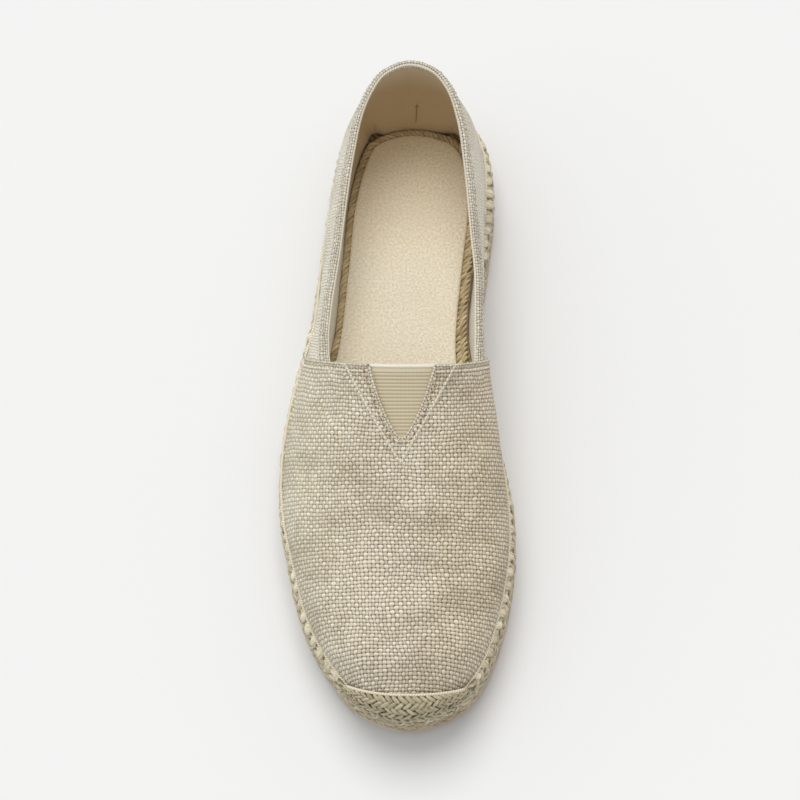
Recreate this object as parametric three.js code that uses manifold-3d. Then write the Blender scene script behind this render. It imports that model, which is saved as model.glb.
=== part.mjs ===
// A slip-on espadrille for the right foot, standing empty on its sole.
// Millimetres, +Z up. The toe points to -Y, the heel to +Y, and the inner (medial) side to +X.
// The origin is the middle of the footprint's box, on the ground.
import * as THREE from 'three';
import { mergeVertices } from 'three/addons/utils/BufferGeometryUtils.js';
import Module from 'manifold-3d';

const wasm = await Module();
wasm.setup();

// ---------------------------------------------------------------- driving dimensions

const LENGTH = 282;           // heel end to toe end of the outsole
const HALF = LENGTH / 2;
const GAP = 0.3;              // between pieces that meet

const OUTSOLE_THICK = 3;
const SOLE_TOP = 21;          // upper face of the jute sole above the ground
const TOE_SPRING = 5;         // how far the toe end of the sole lifts
const SPRING_RUN = 55;        // length over which it lifts
const INSOLE_THICK = 2.5;

const FEATHER_INSET = 4;      // from the sole's edge in to the upper's lower edge
const VAMP_WALL = 1.8;        // linen, backing and lining together
const QUARTER_STEP = 0.8;     // the quarter lies this far under the vamp's outer face
const QUARTER_WALL = 1.6;

const THROAT = 146.5;         // ridge end of the vamp's edge, from the heel end
const THROAT_SLOPE = 0.52;    // how far that edge runs back for each millimetre it drops
const UPRIGHT_ROW = 266;      // from here to the toe the vamp's rows stand upright
const TOE_RUN = 42;           // length of the rounded toe box
const TOE_ROUND = 2.3;
const TOE_BLUNT = 0.55;
const SWELL_LOW = 1.8;        // above 1 brings the sides' fullness down towards the sole
const SWELL_FADE = 20;        // length at the toe over which that fullness dies out

const GORE_GAP = VAMP_WALL + GAP;
const GORE_THICK = 1.2;
const GORE_NOTCH = { left: -12.4, right: 20.0, tipLeft: 2.0, tipRight: 5.2, from: 140, tip: 173 };
const GORE_SPREAD = { lateral: -0.375, medial: 0.375 };   // share of the vamp's arc each way
const GORE_END = 180;

const CAP_START = 266;        // ridge end of the toe cap's upper edge, from the heel end
const CAP_GAP = GAP;
const CAP_THICK = 3;

const LOOP_STEPS = 96;        // points round a sole loop
const VAMP_ARC_STEPS = 32;    // across the vamp, lateral edge to medial edge
const QUARTER_STEPS = 22;     // heel to vamp, each side
const QUARTER_RISE_STEPS = 8;

// Sole outline. at: distance from the heel end. lateral, medial: where each edge lies.
const SOLE_ROWS = [
  { at: 9, lateral: -20.4, medial: 27.9 },
  { at: 20, lateral: -27.4, medial: 35.7 },
  { at: 45, lateral: -31.9, medial: 39.7 },
  { at: 72, lateral: -34.8, medial: 37.7 },
  { at: 108, lateral: -38.8, medial: 33.9 },
  { at: 138, lateral: -45.4, medial: 36.7 },
  { at: 165, lateral: -49.0, medial: 43.5 },
  { at: 192, lateral: -48.8, medial: 48.7 },
  { at: 216, lateral: -44.3, medial: 48.9 },
  { at: 242, lateral: -37.1, medial: 44.4 },
  { at: 264, lateral: -24.5, medial: 36.1 },
  { at: 275.5, lateral: -13.7, medial: 26.0 },
];
const SOLE_ENDS = { heelX: 3.1, toeX: 6.1, heelAt: 0, toeAt: LENGTH };

// Insole outline, the same way.
const INSOLE_ROWS = [
  { at: 22.7, lateral: -11.7, medial: 21.2 },
  { at: 31, lateral: -15.7, medial: 26.4 },
  { at: 52, lateral: -20.2, medial: 28.8 },
  { at: 85, lateral: -22.6, medial: 26.1 },
  { at: 120, lateral: -25.7, medial: 24.0 },
  { at: 150, lateral: -33.0, medial: 27.5 },
  { at: 180, lateral: -37.5, medial: 35.5 },
  { at: 212, lateral: -34.0, medial: 37.5 },
  { at: 242, lateral: -25.0, medial: 33.0 },
  { at: 262, lateral: -12.0, medial: 23.5 },
];
const INSOLE_ENDS = { heelX: 4.3, toeX: 6.0, heelAt: 17.9, toeAt: 269 };

// The form of the last over the instep. rise: height of its ridge over the sole's top.
// power: each side's superellipse exponent, where 2 is round, less slopes and more stands up.
const FORM_ROWS = [
  { at: 0, ridgeX: 4.0, rise: 88, lateralPower: 1.5, medialPower: 3 },
  { at: 92, ridgeX: 3.8, rise: 74, lateralPower: 1.5, medialPower: 3 },
  { at: 122, ridgeX: 3.6, rise: 59, lateralPower: 1.5, medialPower: 3 },
  { at: 148, ridgeX: 3.5, rise: 45, lateralPower: 1.55, medialPower: 2.9 },
  { at: 170, ridgeX: 3.5, rise: 36.5, lateralPower: 1.75, medialPower: 2.6 },
  { at: 195, ridgeX: 3.6, rise: 30, lateralPower: 2, medialPower: 2.4 },
  { at: 219, ridgeX: 4.2, rise: 25.5, lateralPower: 2.2, medialPower: 2.3 },
  { at: 244, ridgeX: 5.0, rise: 22, lateralPower: 2.3, medialPower: 2.3 },
  { at: 278, ridgeX: 6.1, rise: 19, lateralPower: 2.3, medialPower: 2.3 },
];

// How far each side of that form stands out past its lower edge, most of it low down.
const SWELL_ROWS = [
  { at: 0, lateral: 3.4, medial: 6.5 },
  { at: 92, lateral: 3.4, medial: 7 },
  { at: 122, lateral: 2.8, medial: 7.2 },
  { at: 148, lateral: 1.2, medial: 6 },
  { at: 170, lateral: 1.5, medial: 3.5 },
  { at: 195, lateral: 1.5, medial: 2 },
  { at: 219, lateral: 1.5, medial: 1.5 },
  { at: 244, lateral: 1, medial: 1 },
  { at: 278, lateral: 0.5, medial: 0.5 },
];

// Collar edge, from beside the heel's middle to under the vamp. rise is over the ground.
const COLLAR_BACK = { x: 4.5, at: 9.8, rise: 75 };
const COLLAR_ROWS = [
  { lateral: -7.0, lateralAt: 14.3, medial: 16.0, medialAt: 13.4, rise: 74.5 },
  { lateral: -13.0, lateralAt: 21.5, medial: 23.1, medialAt: 21.5, rise: 72 },
  { lateral: -17.7, lateralAt: 31, medial: 27.7, medialAt: 34, rise: 67.5 },
  { lateral: -21.2, lateralAt: 45, medial: 30.5, medialAt: 51, rise: 61 },
  { lateral: -24.1, lateralAt: 64, medial: 32.7, medialAt: 72, rise: 55.5 },
  { lateral: -26.4, lateralAt: 86, medial: 34.5, medialAt: 94, rise: 51.5 },
  { lateral: -27.8, lateralAt: 112, medial: 35.3, medialAt: 118, rise: 49.5 },
  { lateral: -28.7, lateralAt: 151, medial: 35.5, medialAt: 151, rise: 49 },
];
const QUARTER_FOOT_END = 137; // where the quarter's lower edge ends under the vamp

// How far the quarter's wall bulges at mid height, by share of the way from heel to vamp.
const BULGE_ROWS = [
  { at: 0, lateral: 2.0, medial: 2.0 },
  { at: 0.15, lateral: 3.2, medial: 3.4 },
  { at: 0.35, lateral: 4.0, medial: 2.6 },
  { at: 0.7, lateral: 3.6, medial: 3.5 },
  { at: 1, lateral: 1.0, medial: 5.5 },
];
const MEET_START = 0.55;      // share of that way where the quarter begins to take the vamp's form
const MEET_END = 0.85;        // and where it lies on it

// ---------------------------------------------------------------- numbers and curves

const clamp = THREE.MathUtils.clamp;
const smoothstep = THREE.MathUtils.smoothstep;

/** A smooth function of `at` through one column of a table: cubic pieces with mean slopes. */
function column(rows, key) {
  const last = rows.length - 1;
  const slope = (i) => {
    const a = rows[Math.max(i - 1, 0)];
    const b = rows[Math.min(i + 1, last)];
    return (b[key] - a[key]) / (b.at - a.at);
  };
  return (at) => {
    const x = clamp(at, rows[0].at, rows[last].at);
    let i = 0;
    while (i < last - 1 && x > rows[i + 1].at) i += 1;
    const a = rows[i];
    const b = rows[i + 1];
    const run = b.at - a.at;
    const t = (x - a.at) / run;
    const t2 = t * t;
    const t3 = t2 * t;
    return (2 * t3 - 3 * t2 + 1) * a[key] + (t3 - 2 * t2 + t) * run * slope(i)
      + (3 * t2 - 2 * t3) * b[key] + (t3 - t2) * run * slope(i + 1);
  };
}

/** Points spread evenly by length along a polyline. */
function resample(points, steps) {
  const path = new THREE.CurvePath();
  for (let i = 1; i < points.length; i += 1) path.add(new THREE.LineCurve3(points[i - 1], points[i]));
  return Array.from({ length: steps + 1 }, (_, i) => path.getPointAt(i / steps));
}

/** The toe spring: how far the sole is lifted at a distance from the heel end. */
function spring(at) {
  const t = clamp((at - LENGTH + SPRING_RUN) / SPRING_RUN, 0, 1);
  return TOE_SPRING * t * t;
}

/**
 * A foot-shaped loop through a table's rows, its points even by length on each side.
 * It runs from the heel tip along the medial side to the toe tip, and back along the lateral.
 */
function footLoop(rows, ends, steps) {
  const heel = new THREE.Vector3(ends.heelX, HALF - ends.heelAt, 0);
  const toe = new THREE.Vector3(ends.toeX, HALF - ends.toeAt, 0);
  const medial = rows.map((r) => new THREE.Vector3(r.medial, HALF - r.at, 0));
  const lateral = rows.map((r) => new THREE.Vector3(r.lateral, HALF - r.at, 0)).reverse();
  const knots = [heel, ...medial, toe, ...lateral];
  const curve = new THREE.CatmullRomCurve3(knots, true, 'centripetal');
  const toeShare = (rows.length + 1) / knots.length;
  const fine = 30 * knots.length;
  const side = (from, to) => {
    const points = Array.from({ length: fine + 1 }, (_, i) => curve.getPoint(from + (to - from) * i / fine));
    return resample(points, steps / 2).slice(0, -1);
  };
  return [...side(0, toeShare), ...side(toeShare, 1)];
}

/** The loop moved inwards, square to itself. */
function insetLoop(loop, distance) {
  return loop.map((p, i) => {
    const ahead = loop[(i + 1) % loop.length];
    const behind = loop[(i + loop.length - 1) % loop.length];
    const run = new THREE.Vector3().subVectors(ahead, behind).normalize();
    return new THREE.Vector3(p.x + run.y * distance, p.y - run.x * distance, p.z);
  });
}

// ---------------------------------------------------------------- solids

/** A closed mesh from points and triangles, shared points merged and its faces turned outwards. */
function closedGeometry(points, triangles) {
  const flat = new Float32Array(triangles.flat().flatMap((i) => points[i].toArray()));
  const soup = new THREE.BufferGeometry();
  soup.setAttribute('position', new THREE.BufferAttribute(flat, 3));
  const merged = mergeVertices(soup, 1e-4);
  const position = merged.getAttribute('position');
  const index = merged.getIndex();
  const corner = (i) => new THREE.Vector3().fromBufferAttribute(position, i);
  const kept = [];
  let volume = 0;
  for (let i = 0; i < index.count; i += 3) {
    const [a, b, c] = [index.getX(i), index.getX(i + 1), index.getX(i + 2)];
    if (a === b || b === c || c === a) continue;
    kept.push([a, b, c]);
    volume += corner(a).dot(corner(b).cross(corner(c)));
  }
  merged.setIndex(kept.flatMap(([a, b, c]) => (volume < 0 ? [a, c, b] : [a, b, c])));
  return merged;
}

/** The two triangles of each cell of a grid whose points start at `base`. */
function gridTriangles(rows, columns, base, turned) {
  const triangles = [];
  for (let i = 0; i < rows - 1; i += 1) {
    for (let j = 0; j < columns - 1; j += 1) {
      const a = base + i * columns + j;
      const b = a + 1;
      const c = a + columns;
      const d = c + 1;
      if (turned) triangles.push([a, c, b], [b, c, d]);
      else triangles.push([a, b, c], [b, d, c]);
    }
  }
  return triangles;
}

/** A wall between two grids of points of the same size, closed along its four borders. */
function wallBetween(outer, inner) {
  const rows = outer.length;
  const columns = outer[0].length;
  const count = rows * columns;
  const points = [...outer.flat(), ...inner.flat()];
  const triangles = [
    ...gridTriangles(rows, columns, 0, false),
    ...gridTriangles(rows, columns, count, true),
  ];
  const border = [];
  for (let j = 0; j < columns - 1; j += 1) border.push(j);
  for (let i = 0; i < rows - 1; i += 1) border.push(i * columns + columns - 1);
  for (let j = columns - 1; j > 0; j -= 1) border.push((rows - 1) * columns + j);
  for (let i = rows - 1; i > 0; i -= 1) border.push(i * columns);
  border.forEach((a, k) => {
    const b = border[(k + 1) % border.length];
    triangles.push([a, a + count, b], [b, a + count, b + count]);
  });
  return closedGeometry(points, triangles);
}

/** A solid through a stack of foot loops, closed below and above by strips across the foot. */
function stackLoops(loops) {
  const steps = loops[0].length;
  const points = loops.flat();
  const triangles = [];
  for (let k = 0; k < loops.length - 1; k += 1) {
    for (let i = 0; i < steps; i += 1) {
      const next = (i + 1) % steps;
      const [a, b, c, d] = [k * steps + i, k * steps + next, (k + 1) * steps + i, (k + 1) * steps + next];
      triangles.push([a, c, b], [b, c, d]);
    }
  }
  const strip = (base, turned) => {
    for (let i = 0; i < steps / 2; i += 1) {
      const [a, b] = [base + i, base + i + 1];
      const [c, d] = [base + (steps - i) % steps, base + steps - i - 1];
      if (turned) triangles.push([a, c, b], [b, c, d]);
      else triangles.push([a, b, c], [b, d, c]);
    }
  };
  strip(0, false);
  strip((loops.length - 1) * steps, true);
  return closedGeometry(points, triangles);
}

/** A stack of the same foot loop at several heights, each inset by its own amount. */
function slab(loop, layers) {
  return stackLoops(layers.map(({ height, inset }) => insetLoop(loop, inset).map(
    (p) => new THREE.Vector3(p.x, p.y, height + spring(HALF - p.y)),
  )));
}

/** manifold-3d's solid of a closed mesh. */
function toManifold(geometry) {
  return new wasm.Manifold(new wasm.Mesh({
    numProp: 3,
    vertProperties: new Float32Array(geometry.getAttribute('position').array),
    triVerts: new Uint32Array(geometry.getIndex().array),
  }));
}

/** A three.js geometry of a manifold-3d solid. */
function fromManifold(manifold) {
  const mesh = manifold.getMesh();
  const geometry = new THREE.BufferGeometry();
  geometry.setAttribute('position', new THREE.BufferAttribute(mesh.vertProperties, 3));
  geometry.setIndex(new THREE.BufferAttribute(mesh.triVerts, 1));
  return geometry;
}

// ---------------------------------------------------------------- the form of the last

const RIDGE_X = column(FORM_ROWS, 'ridgeX');
const RISE = column(FORM_ROWS, 'rise');
const POWER = { [-1]: column(FORM_ROWS, 'lateralPower'), 1: column(FORM_ROWS, 'medialPower') };
const SWELL = { [-1]: column(SWELL_ROWS, 'lateral'), 1: column(SWELL_ROWS, 'medial') };
const FINE_SOLE = footLoop(SOLE_ROWS, SOLE_ENDS, 800);

/**
 * The last's form grown by `grow` on all sides: its front end, the rise of its ridge,
 * and the side wall's place at any distance from the heel end and height.
 */
function lastForm(grow) {
  const loop = insetLoop(FINE_SOLE, FEATHER_INSET - grow);
  const half = loop.length / 2;
  const edges = {
    1: loop.slice(0, half + 1),
    [-1]: [loop[0], ...loop.slice(half).reverse()],
  };
  const front = HALF - loop[half].y;
  const back = HALF - loop[0].y;
  const edgeX = (at, side) => {
    const y = HALF - clamp(at, back, front);
    const points = edges[side];
    const i = clamp(points.findIndex((p) => p.y <= y), 1, half);
    const [a, b] = [points[i - 1], points[i]];
    return THREE.MathUtils.mapLinear(y, a.y, b.y, a.x, b.x);
  };
  const rise = (at) => {
    const t = clamp((at - front + TOE_RUN) / TOE_RUN, 0, 1);
    return (RISE(at) + grow) * (1 - t ** TOE_ROUND) ** TOE_BLUNT;
  };
  const base = (at) => SOLE_TOP + GAP + spring(at);
  const swell = (at, side, height) => {
    const fade = clamp((front - at) / SWELL_FADE, 0, 1);
    return SWELL[side](at) * fade * Math.sin(Math.PI * (1 - (1 - height) ** SWELL_LOW));
  };
  /** Where the wall is, with the share of the ridge's rise and the share of the half width. */
  const wallX = (at, side, height, width) => {
    const ridgeX = RIDGE_X(at);
    return ridgeX + (edgeX(at, side) - ridgeX) * width + side * swell(at, side, height);
  };
  /** A point of the cross-section: arc is -1 at the lateral edge, 0 on the ridge, 1 at the medial. */
  const section = (at, arc) => {
    if (at >= front) return new THREE.Vector3(loop[half].x, loop[half].y, base(front));
    const side = arc < 0 ? -1 : 1;
    const angle = Math.abs(arc) * Math.PI / 2;
    const root = 2 / POWER[side](at);
    const height = Math.abs(arc) === 1 ? 0 : Math.cos(angle) ** root;
    const x = wallX(at, side, height, Math.sin(angle) ** root);
    return new THREE.Vector3(x, HALF - at, base(at) + rise(at) * height);
  };
  /** The side wall's x at a height over the ground. */
  const sideX = (at, side, z) => {
    const height = clamp((z - base(at)) / rise(at), 0, 1);
    const n = POWER[side](at);
    return wallX(at, side, height, (1 - height ** n) ** (1 / n));
  };
  /** A point of the vamp's row that crosses the ridge at `start` and leans back down the sides. */
  const vampPoint = (start, arc) => {
    const slope = THROAT_SLOPE * clamp((UPRIGHT_ROW - start) / (UPRIGHT_ROW - THROAT), 0, 1);
    const ridgeZ = base(start) + rise(start);
    let at = start;
    for (let pass = 0; pass < 14; pass += 1) {
      at = (at + start - slope * (ridgeZ - section(at, arc).z)) / 2;
    }
    return section(at, arc);
  };
  return { front, sideX, vampPoint };
}

/** Where the vamp's rows cross the ridge, closer together towards the front end. */
function vampRows(front) {
  const straight = 10;
  const round = 10;
  const boxStart = front - TOE_RUN;
  const rows = Array.from({ length: straight }, (_, i) => THROAT + (boxStart - THROAT) * i / straight);
  for (let i = 0; i <= round; i += 1) rows.push(front - TOE_RUN * (1 - i / round) ** 2);
  return rows;
}

/** The grid of points of the vamp's form grown by `grow`, for the rows and arcs that are kept. */
function vampGrid(grow, keepRow, keepArc) {
  const form = lastForm(grow);
  const arcs = Array.from({ length: VAMP_ARC_STEPS + 1 }, (_, j) => -1 + 2 * j / VAMP_ARC_STEPS);
  const shown = vampRows(lastForm(0).front);
  return vampRows(form.front)
    .filter((_, i) => keepRow(shown[i]))
    .map((start) => arcs.filter(keepArc).map((arc) => form.vampPoint(start, arc)));
}

// ---------------------------------------------------------------- the quarter's form

const BULGE = { [-1]: column(BULGE_ROWS, 'lateral'), 1: column(BULGE_ROWS, 'medial') };

/** One side's collar edge, heel middle to vamp, even by length. */
function collarEdge(side, steps) {
  const name = side > 0 ? 'medial' : 'lateral';
  const other = side > 0 ? 'lateral' : 'medial';
  const knot = (row, key) => new THREE.Vector3(row[key], HALF - row[`${key}At`], row.rise);
  const back = new THREE.Vector3(COLLAR_BACK.x, HALF - COLLAR_BACK.at, COLLAR_BACK.rise);
  const beyond = knot(COLLAR_ROWS[0], other);
  const knots = [beyond, back, ...COLLAR_ROWS.map((row) => knot(row, name))];
  const curve = new THREE.CatmullRomCurve3(knots, false, 'centripetal');
  const start = 1 / (knots.length - 1);
  const fine = 400;
  return resample(
    Array.from({ length: fine + 1 }, (_, i) => curve.getPoint(start + (1 - start) * i / fine)),
    steps,
  );
}

/** One side's lower edge of the quarter, heel middle to vamp, even by length. */
function footEdge(side, steps) {
  const loop = insetLoop(FINE_SOLE, FEATHER_INSET);
  const half = loop.length / 2;
  const points = side > 0 ? loop.slice(0, half) : [loop[0], ...loop.slice(half).reverse()];
  const end = points.findIndex((p) => HALF - p.y > QUARTER_FOOT_END);
  return resample(points.slice(0, end), steps);
}

/**
 * One side of the quarter as a grid, heel middle to vamp by foot to collar, set in by `inset`.
 * The wall runs from the lower edge to the collar with a bulge, and eases on to the vamp's form.
 */
function quarterSide(side, inset) {
  const form = lastForm(0);
  const foot = footEdge(side, QUARTER_STEPS);
  const collar = collarEdge(side, QUARTER_STEPS);
  return foot.map((low, i) => {
    const along = i / QUARTER_STEPS;
    const ahead = foot[Math.min(i + 1, QUARTER_STEPS)];
    const behind = foot[Math.max(i - 1, 0)];
    const run = new THREE.Vector3().subVectors(ahead, behind).normalize();
    const outward = i === 0 ? new THREE.Vector3(0, 1, 0) : new THREE.Vector3(-run.y * side, run.x * side, 0);
    const meet = smoothstep(along, MEET_START, MEET_END);
    return Array.from({ length: QUARTER_RISE_STEPS + 1 }, (_, k) => {
      const up = k / QUARTER_RISE_STEPS;
      const z = THREE.MathUtils.lerp(SOLE_TOP + GAP, collar[i].z, up);
      const point = new THREE.Vector3().lerpVectors(low, collar[i], up).setZ(z);
      point.addScaledVector(outward, BULGE[side](along) * Math.sin(Math.PI * up ** 0.8));
      point.x += meet * (form.sideX(HALF - point.y, side, z) - point.x);
      return point.addScaledVector(outward, -inset);
    });
  });
}

/** The whole quarter round the heel, lateral vamp end to medial vamp end. */
function quarterGrid(inset) {
  return [...quarterSide(-1, inset).slice(1).reverse(), ...quarterSide(1, inset)];
}

// ---------------------------------------------------------------- the pieces

function outsole() {
  return slab(footLoop(SOLE_ROWS, SOLE_ENDS, LOOP_STEPS), [
    { height: 0, inset: 1.6 },
    { height: 1.2, inset: 0.8 },
    { height: OUTSOLE_THICK, inset: 0.8 },
  ]);
}

function juteSole() {
  return slab(footLoop(SOLE_ROWS, SOLE_ENDS, LOOP_STEPS), [
    { height: OUTSOLE_THICK + GAP, inset: 0.8 },
    { height: 6.5, inset: 0 },
    { height: SOLE_TOP - 3.5, inset: 0 },
    { height: SOLE_TOP, inset: 1 },
  ]);
}

function insole() {
  const bottom = SOLE_TOP + GAP;
  return slab(footLoop(INSOLE_ROWS, INSOLE_ENDS, LOOP_STEPS), [
    { height: bottom, inset: 0 },
    { height: bottom + INSOLE_THICK - 0.8, inset: 0 },
    { height: bottom + INSOLE_THICK, inset: 0.8 },
  ]);
}

/** A wedge through the vamp's throat edge, where the elastic shows. */
function goreNotch() {
  const { left, right, tipLeft, tipRight, from, tip } = GORE_NOTCH;
  const wedge = new THREE.Shape([
    new THREE.Vector2(left, HALF - from),
    new THREE.Vector2(right, HALF - from),
    new THREE.Vector2(tipRight, HALF - tip),
    new THREE.Vector2(tipLeft, HALF - tip),
  ]);
  const prism = new THREE.ExtrudeGeometry(wedge, { depth: 60, bevelEnabled: false }).translate(0, 0, 40);
  prism.deleteAttribute('normal');
  prism.deleteAttribute('uv');
  return mergeVertices(prism);
}

function upper() {
  const all = () => true;
  const vamp = toManifold(wallBetween(vampGrid(0, all, all), vampGrid(-VAMP_WALL, all, all)));
  const quarter = toManifold(wallBetween(
    quarterGrid(QUARTER_STEP),
    quarterGrid(QUARTER_STEP + QUARTER_WALL),
  ));
  return fromManifold(vamp.subtract(toManifold(goreNotch())).add(quarter));
}

function elasticGore() {
  const keepRow = (start) => start < GORE_END;
  const keepArc = (arc) => arc >= GORE_SPREAD.lateral && arc <= GORE_SPREAD.medial;
  return wallBetween(
    vampGrid(-GORE_GAP, keepRow, keepArc),
    vampGrid(-GORE_GAP - GORE_THICK, keepRow, keepArc),
  );
}

function toeCap() {
  const keepRow = (start) => start > CAP_START;
  const all = () => true;
  return wallBetween(vampGrid(CAP_GAP + CAP_THICK, keepRow, all), vampGrid(CAP_GAP, keepRow, all));
}

// ---------------------------------------------------------------- the shoe

const PIECES = [
  { name: 'outsole', make: outsole, color: 0xcdbfae, roughness: 0.75 },
  { name: 'midsole', make: juteSole, color: 0xb9a57d, roughness: 0.95 },
  { name: 'insole', make: insole, color: 0xd9ccb4, roughness: 0.9 },
  { name: 'upper', make: upper, color: 0xcfc2a6, roughness: 0.92 },
  { name: 'elastic_gore', make: elasticGore, color: 0xb5a887, roughness: 0.85 },
  { name: 'toe_cap', make: toeCap, color: 0xb8a67f, roughness: 0.95 },
];

const espadrille = new THREE.Group();
for (const { name, make, color, roughness } of PIECES) {
  const mesh = new THREE.Mesh(make(), new THREE.MeshStandardMaterial({ color, roughness, metalness: 0 }));
  mesh.name = name;
  espadrille.add(mesh);
}

export default espadrille;
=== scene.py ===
"""A linen slip-on espadrille for the right foot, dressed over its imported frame.

Shapes are worked out in millimetres in the frame's own axes: the toe points to -Y, the heel to
+Y, and the inner (medial) side is +X. `at` is always a distance from the heel end of the sole,
`arc` runs over the vamp from -1 at its lateral edge through 0 on the ridge to 1 at its medial
edge, `share` runs round the quarter from -1 at its lateral end through 0 at the heel to 1 at its
medial end, and `up` from 0 at its foot to 1 at the collar.
"""
import math

import bpy
import numpy as np
from mathutils import Matrix, Vector


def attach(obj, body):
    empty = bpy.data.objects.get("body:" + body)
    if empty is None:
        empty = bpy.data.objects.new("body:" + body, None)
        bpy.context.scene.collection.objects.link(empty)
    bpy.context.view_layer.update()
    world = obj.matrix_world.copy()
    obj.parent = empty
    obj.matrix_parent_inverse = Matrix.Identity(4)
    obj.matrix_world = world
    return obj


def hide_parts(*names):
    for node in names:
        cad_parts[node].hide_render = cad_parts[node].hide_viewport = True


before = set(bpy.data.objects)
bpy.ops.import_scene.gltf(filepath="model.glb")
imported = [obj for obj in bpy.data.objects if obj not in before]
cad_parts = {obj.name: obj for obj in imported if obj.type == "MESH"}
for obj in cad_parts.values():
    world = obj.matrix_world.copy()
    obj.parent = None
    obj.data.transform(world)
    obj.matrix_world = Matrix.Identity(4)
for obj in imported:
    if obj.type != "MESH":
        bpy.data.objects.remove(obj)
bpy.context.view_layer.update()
MM = 0.001
TAU = 2 * math.pi
RNG = np.random.default_rng(42)

# ---------------------------------------------------------------- sizes of the shoe

LENGTH = 282.0
HALF = LENGTH / 2
OUTSOLE_THICK = 3.0
SOLE_TOP = 21.0
TOE_SPRING, SPRING_RUN = 5.0, 55.0
FEATHER_INSET = 4.0          # from the sole's edge in to the upper's lower edge
SEAT = SOLE_TOP + 0.3        # height of the upper's lower edge

THROAT = 146.5               # where the vamp's edge crosses the ridge
THROAT_SLOPE = 0.52          # how far that edge leans back for each millimetre that it drops
UPRIGHT_ROW = 266.0          # from here forward the vamp's rows stand upright
TOE_RUN, TOE_ROUND, TOE_BLUNT = 42.0, 2.3, 0.55      # length and exponents of the closing toe
SWELL_LOW, SWELL_FADE = 1.8, 20.0                    # the swell's exponent, and its run to the toe
QUARTER_FOOT_END = 137.0                             # of the quarter's foot, under the vamp
MEET_START, MEET_END = 0.55, 0.85                    # shares where the quarter meets the last
COLLAR_SHOWN = (0.026, 0.974)                        # the hem's ends, as shares of the quarter

VAMP_CLOTH = 1.0
QUARTER_STEP, QUARTER_CLOTH = 0.8, 0.8               # its distance in from the last, its thickness
LINING_GAP = 0.5
SIDE_LOW = OUTSOLE_THICK + 0.6
SIDE_PROFILE = ((2.0, SIDE_LOW), (1.6, 6.0), (1.5, 12.0), (1.7, 17.6), (2.3, 19.7), (3.6, 20.9),
                (5.2, 21.0))                         # distance in from the sole's edge, height
GORE_PITCH = 1.45            # from one rib of the elastic to the next
GORE_BAND = 2.4              # the plain fold at its top
GORE_FOOT = 178.0
GUARD_TOP = 273.3            # where the toe guard's upper edge crosses the ridge
GUARD_LIFT = 1.3             # of that edge over the vamp
GUARD_REACH = 86             # points of the sole's outline that the guard covers on each side
GUARD_ROWS, GUARD_COLUMNS = 25, 161


def table(names, *rows):
    """A short table as a dictionary of columns."""
    return dict(zip(names.split(), np.array(rows, float).T))


SOLE = table(
    "at lateral medial",
    (9, -20.4, 27.9), (20, -27.4, 35.7), (45, -31.9, 39.7), (72, -34.8, 37.7),
    (108, -38.8, 33.9), (138, -45.4, 36.7), (165, -49.0, 43.5), (192, -48.8, 48.7),
    (216, -44.3, 48.9), (242, -37.1, 44.4), (264, -24.5, 36.1), (275.5, -13.7, 26.0),
)
SOLE_ENDS = ((3.1, 0.0), (6.1, LENGTH))              # x and `at` of the heel tip and toe tip
INSOLE = table(
    "at lateral medial",
    (22.7, -11.7, 21.2), (31, -15.7, 26.4), (52, -20.2, 28.8), (85, -22.6, 26.1),
    (120, -25.7, 24.0), (150, -33.0, 27.5), (180, -37.5, 35.5), (212, -34.0, 37.5),
    (242, -25.0, 33.0), (262, -12.0, 23.5),
)
INSOLE_ENDS = ((4.3, 17.9), (6.0, 269.0))
FORM = table(
    "at ridge rise lateral medial",                  # the sides' columns are their exponents
    (0, 4.0, 88, 1.5, 3), (92, 3.8, 74, 1.5, 3), (122, 3.6, 59, 1.5, 3),
    (148, 3.5, 45, 1.55, 2.9), (170, 3.5, 36.5, 1.75, 2.6), (195, 3.6, 30, 2, 2.4),
    (219, 4.2, 25.5, 2.2, 2.3), (244, 5.0, 22, 2.3, 2.3), (278, 6.1, 19, 2.3, 2.3),
)
SWELL = table(
    "at lateral medial",
    (0, 3.4, 6.5), (92, 3.4, 7), (122, 2.8, 7.2), (148, 1.2, 6), (170, 1.5, 3.5),
    (195, 1.5, 2), (219, 1.5, 1.5), (244, 1, 1), (278, 0.5, 0.5),
)
COLLAR_BACK = (4.5, 9.8, 75.0)                       # x, `at` and height of the collar's back
COLLAR = table(
    "lateral lateral_at medial medial_at rise",
    (-7.0, 14.3, 16.0, 13.4, 74.5), (-13.0, 21.5, 23.1, 21.5, 72), (-17.7, 31, 27.7, 34, 67.5),
    (-21.2, 45, 30.5, 51, 61), (-24.1, 64, 32.7, 72, 55.5), (-26.4, 86, 34.5, 94, 51.5),
    (-27.8, 112, 35.3, 118, 49.5), (-28.7, 151, 35.5, 151, 49),
)
BULGE = table(
    "at lateral medial",
    (0, 2.0, 2.0), (0.15, 3.2, 3.4), (0.35, 4.0, 2.6), (0.7, 3.6, 3.5), (1, 1.0, 5.5),
)

# ---------------------------------------------------------------- curves

FINE = 40


def smooth(at, xs, ys):
    """Cubic pieces through the points (xs, ys); a point's slope is taken across its neighbours."""
    before = np.maximum(np.arange(len(xs)) - 1, 0)
    after = np.minimum(np.arange(len(xs)) + 1, len(xs) - 1)
    slope = (ys[after] - ys[before]) / (xs[after] - xs[before])
    at = np.clip(at, xs[0], xs[-1])
    i = np.clip(np.searchsorted(xs, at) - 1, 0, len(xs) - 2)
    run = xs[i + 1] - xs[i]
    t = (at - xs[i]) / run
    rising = (3 - 2 * t) * t * t
    tangents = t * (1 - t) * run * ((1 - t) * slope[i] - t * slope[i + 1])
    return ys[i] * (1 - rising) + ys[i + 1] * rising + tangents


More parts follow.
